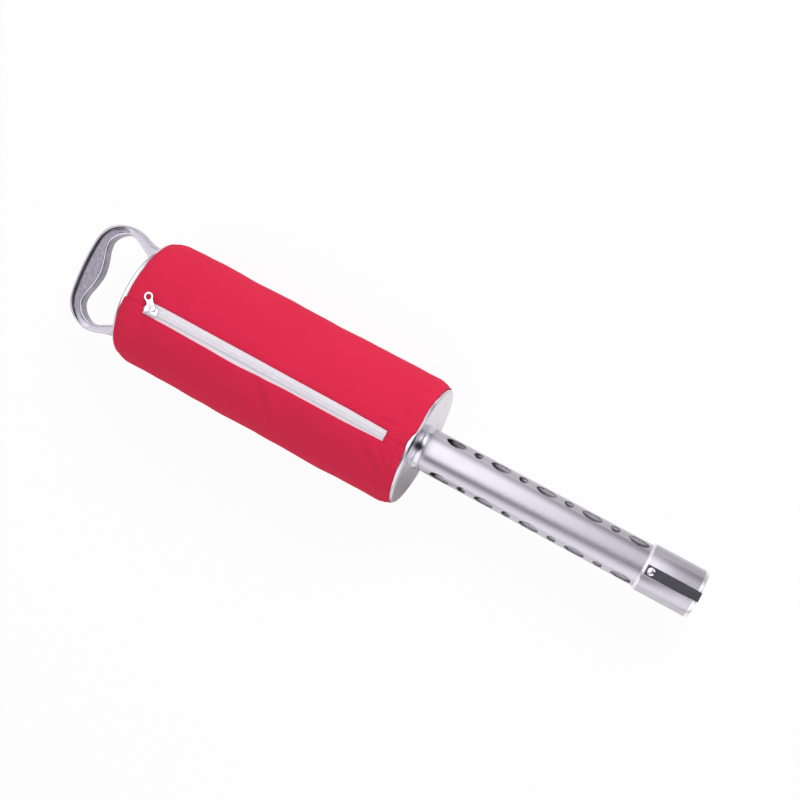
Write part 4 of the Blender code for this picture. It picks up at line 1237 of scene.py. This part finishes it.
sleeve = mouth_sleeve()
place_piece(
    "turned_mouth_sleeve", sleeve, TURNED_ALUMINIUM, ["mouth_sleeve"], "ball_tube", 40
)

# %% [markdown]
# A rubber finger lies in each slot, held by one rivet. Past the end of the tube its nose bends into the
# mouth, so a ball pushes it aside on the way in and rests on it afterwards. Its side view, given the strip's
# width, is the whole shape.

# %% Rubber fingers and their rivets
FINGER_SIDE = [(598.8, 23.3), (642.1, 23.3), (643.6, 22.7), (645.3, 21.0), (645.9, 20.7), (646.6, 20.6),
               (649.8, 20.6), (650.5, 20.7), (652.4, 21.4), (655.4, 22.6), (655.9, 23.2), (656, 24.0),
               (655.7, 24.4), (655.0, 24.8), (599.1, 24.8), (598.8, 24.6)]
FINGER_HALF = 5
RIVET_AT = 603.7
RIVET_DOME = (1.7, 4.3)


def finger(i):
    strip = soften(prism(FINGER_SIDE, -FINGER_HALF, FINGER_HALF, UPRIGHT), 0.3, 2, 60)
    bmesh.ops.rotate(strip, verts=strip.verts, matrix=Matrix.Rotation(-finger_angle(i), 3, "X"))
    return strip


def rivet(i):
    """A domed head on a short shank, spun about the tool's axis and then stood on the tube."""
    height, half = RIVET_DOME
    dome = [(math.cos(t) * height, math.sin(t) * half) for t in [math.pi / 2 * k / 8 for k in range(9)]]
    shank = [(-0.15, 4.2), (-0.2, 3.9), (-0.2, 1.5), (-2.9, 1.5), (-2.9, 0)]
    head = spun(dome + shank, closed=False, steps=40)
    stand = around(RIVET_AT, finger_angle(i), 25.1) @ Matrix.Rotation(-math.pi / 2, 4, "Y")
    bmesh.ops.transform(head, matrix=stand, verts=head.verts)
    return head


for i in range(3):
    n = str(i + 1)
    strip, head = finger(i), rivet(i)
    place_piece("rubber_finger_" + n, strip, RUBBER, ["retainer_finger_" + n], "finger_" + n)
    place_piece("domed_rivet_" + n, head, CHROME, ["finger_rivet_" + n], "ball_tube")

# %% [markdown]
# The pieces that the cloth and the plates hide keep their CAD shapes. They still get the finishes that they
# would show if the bag were opened.

# %% Hidden pieces
SCREWS = [f"handle_{kind}_{side}" for kind in ("screw", "washer") for side in ("left", "right")]
SCREWS += [f"plug_screw_{i}" for i in (1, 2, 3)]
KEPT = (
    (ZINC_PLATE, ["hem_hoop_top", "hem_hoop_bottom", "neck_socket"]),
    (SCREW_STEEL, SCREWS),
    (GREY_PLASTIC, ["tube_plug"]),
    (DRAWN_ALUMINIUM, ["inner_tube"]),
)
for finish, names in KEPT:
    for name in names:
        for material_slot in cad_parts[name].material_slots:
            material_slot.material = finish
    print(finish.name, "also goes on", ", ".join(names))

# %% [markdown]
# The tool lies on a white table. Light Path tells which ray looks at it: the camera sees plain white with the
# tool's shadow, and mirrors see half of the white and half of a glow. The glow is painted light and shade:
# it fades towards the far right and past both ends of the tool, and holds a painted shadow of the tool in a
# strip before the bottom plate, which that plate mirrors.

# %% Table
TABLE_HALF = 6.0
JUST_BELOW = -0.0003
TOOL_SHADOW_AT = 0.072


def clamped(value):
    """The value kept between 0 and 1."""
    return value.node("Clamp", None, {0: value})


def glow_level(x, y):
    """How bright mirrors see the table at a place, from 0 to 1: painted light, with a painted shadow of the
    tool.
    """
    far_level = clamped(0.68 - 0.9 * x)
    level = far_level + (1 - far_level) * clamped(1.6 - 12 * y)
    # A painted shadow of the tool lies in a strip before the bottom plate, on its near side.
    painted_tool_shadow = clamped(2 - 90 * (x - TOOL_SHADOW_AT).math("ABSOLUTE")) * clamped(0.35 - 12 * y)
    beyond_mouth, beyond_handle = clamped(6 * (x - 0.42)), clamped(-6 * (x + 0.6))
    return level * (1 - 0.9 * painted_tool_shadow) * (1 - beyond_mouth) * (1 - beyond_handle)


def new_tree(owner):
    """An empty shader tree."""
    owner.use_nodes = True
    owner.node_tree.nodes.clear()
    return Wire(owner.node_tree)


def rays(start, *kinds):
    """For each kind, 1 where such a ray looks and 0 elsewhere."""
    return [start.node("LightPath", output=f"Is {kind} Ray") for kind in kinds]


def tinted(start, level, green, blue):
    """A near grey from one level."""
    return start.node("CombineXYZ", None, {0: level, 1: level * green, 2: level * blue})


table = bmesh.new()
bmesh.ops.create_grid(table, x_segments=1, y_segments=1, size=TABLE_HALF)
bmesh.ops.translate(table, verts=table.verts, vec=(0, 0, JUST_BELOW))
table_mesh = as_mesh(table)
floor = bpy.data.objects.new("table", table_mesh)
bpy.context.scene.collection.objects.link(floor)
white = bpy.data.materials.new("white_table")
start = new_tree(white)
x, y, _ = parts(start.node("TexCoord", output="Object"))
camera_ray, glossy, through = rays(start, "Camera", "Glossy", "Transmission")
plain = camera_ray * 0.94 + glossy * 0.5 + through * 0.5
mirrored = tinted(start, glow_level(x, y), 0.97, 1.0)
paper = start.node("BsdfDiffuse", None, {"Color": (0.96, 0.96, 0.96, 1)})
glow = start.node("Emission", None, {"Color": blend(camera_ray, mirrored, (1, 1, 1, 1)), "Strength": 1.0})
shown = start.node("MixShader", None, {0: plain, 1: paper, 2: glow})
start.node("OutputMaterial", None, {"Surface": shown})
table_mesh.materials.append(white)
print("the table is", 2 * TABLE_HALF, "m wide")

# %% [markdown]
# Metal shows little but what stands round it, so the studio is drawn for reflections alone: a bright panel
# overhead, dimmer towards the far right, with a narrow dark gap beside it and a paler panel on the near side.
# The gap runs at a slant, so its reflection moves across the tube from one end to the other. A dark patch at
# the far right end gives the plates' rounded rims their thin dark line. Rays that light dull surfaces see a
# plain grey that is paler on the near side, and the camera sees white.

# %% Studio
SLANT = 0.302
NEAR_PANEL = [(0, 0.64), (0.333, 0.64), (0.375, 0.5), (0.415, 0.18), (0.44, 0.06), (0.475, 0.0)]
OVERHEAD = [(0.44, 0.0), (0.456, 0.08), (0.478, 0.4), (0.514, 1.0)]
FAR_EDGE = [(0.64, 1.0), (0.68, 0.72), (0.725, 0.42), (1.0, 0.45)]
DIMMING = [(0.02, 0.1), (0.05, 0.6), (0.12, 0.6), (0.2, 1.0), (0.262, 1.0), (0.274, 0.16), (0.288, 0.16),
           (0.303, 0.8), (0.42, 1.0), (0.445, 1.0), (0.473, 0.7), (0.508, 0.35), (0.532, 0.36), (0.7, 0.42),
           (0.745, 0.8), (1.0, 0.8)]
RIGHT_END = [(0.77, 1.0), (0.8, 0.05)]


def panel(place, stops):
    """The brightness of the studio by a place from 0 to 1, from (place, brightness) stops."""
    grey = [(position, (bright, bright, bright, 1)) for position, bright in stops]
    ramp = place.node("ValToRGB", {"stops": grey}, {0: place})
    return place.node("RGBToBW", None, {0: ramp})


def studio_brightness(start):
    """What mirrors see in each direction, which is split into its parts along, aside and up."""
    along, aside, up = parts(start.node("TexCoord", output="Generated"))
    angle = aside.math("ARCTAN2", up) * (0.5 / math.pi) + 0.5
    slanted = angle - SLANT * along.node("Clamp", None, {0: along, 1: -0.2, 2: 0.2})
    from_left = 0.5 * along + 0.5
    ceiling = panel(slanted, OVERHEAD) * panel(angle, FAR_EDGE) * panel(from_left, DIMMING)
    dark_end = 1 - panel(from_left, RIGHT_END)
    patch = dark_end * clamped(1.6 - 3 * aside.math("ABSOLUTE"))
    return aside, (panel(slanted, NEAR_PANEL) + ceiling) * (1 - patch)


scene = bpy.context.scene
scene.view_settings.view_transform = "Standard"
world = bpy.data.worlds.new("studio")
scene.world = world
start = new_tree(world)
aside, bright = studio_brightness(start)
camera_ray, glossy = rays(start, "Camera", "Glossy")
soft = blend(0.5 - 0.5 * aside, (0.12, 0.12, 0.12, 1), (0.93, 0.93, 0.95, 1))
sky = blend(camera_ray, blend(glossy, soft, tinted(start, bright, 0.97, 1.02)), (1, 1, 1, 1))
strength = 1 + 0.9 * glossy * (1 - camera_ray)
light = start.node("Background", None, {"Color": sky, "Strength": strength})
start.node("OutputWorld", None, {"Surface": light})
print("the studio has", len(world.node_tree.nodes), "nodes")

# %% [markdown]
# One wide lamp does the rest. It hangs beyond the zipper's far edge, so the bag's upper panel is brighter
# than the lower one, and mirrors don't show it, because the studio above already does. The camera's three
# directions are written as a matrix, with right made square to back, which points away from the tool.

# %% Lamp and camera
lamp = bpy.data.lights.new("soft_box", "AREA")
lamp.shape = "RECTANGLE"
lamp.size = 1.7
lamp.size_y = 1.3
lamp.energy = 24.5
box = bpy.data.objects.new("soft_box", lamp)
scene.collection.objects.link(box)
box.location = (0.25, 1.35, 1.35)
box.rotation_euler = (Vector((0, 0, 0)) - box.location).to_track_quat("-Z", "Y").to_euler()
box.visible_glossy = False
box.visible_camera = False

back = Vector((0.18875, 0.09412, 0.97750)).normalized()
right = Vector((0.86659, 0.45227, -0.21088))
right = (right - back * right.dot(back)).normalized()
camera = bpy.data.cameras.new("camera")
camera.lens = 54.99
camera.sensor_width = 36.0
eye = bpy.data.objects.new("camera", camera)
scene.collection.objects.link(eye)
eye.matrix_world = Matrix.Translation((0.25379, 0.15172, 1.31202)) @ Matrix(
    (right, back.cross(right), back)
).transposed().to_4x4()
scene.camera = eye

# %% [markdown]
# The last cell brings the scene up to date. The dressed tool may not be larger than its CAD model, apart
# from a little for its cloth.

# %% The end
bpy.context.view_layer.update()
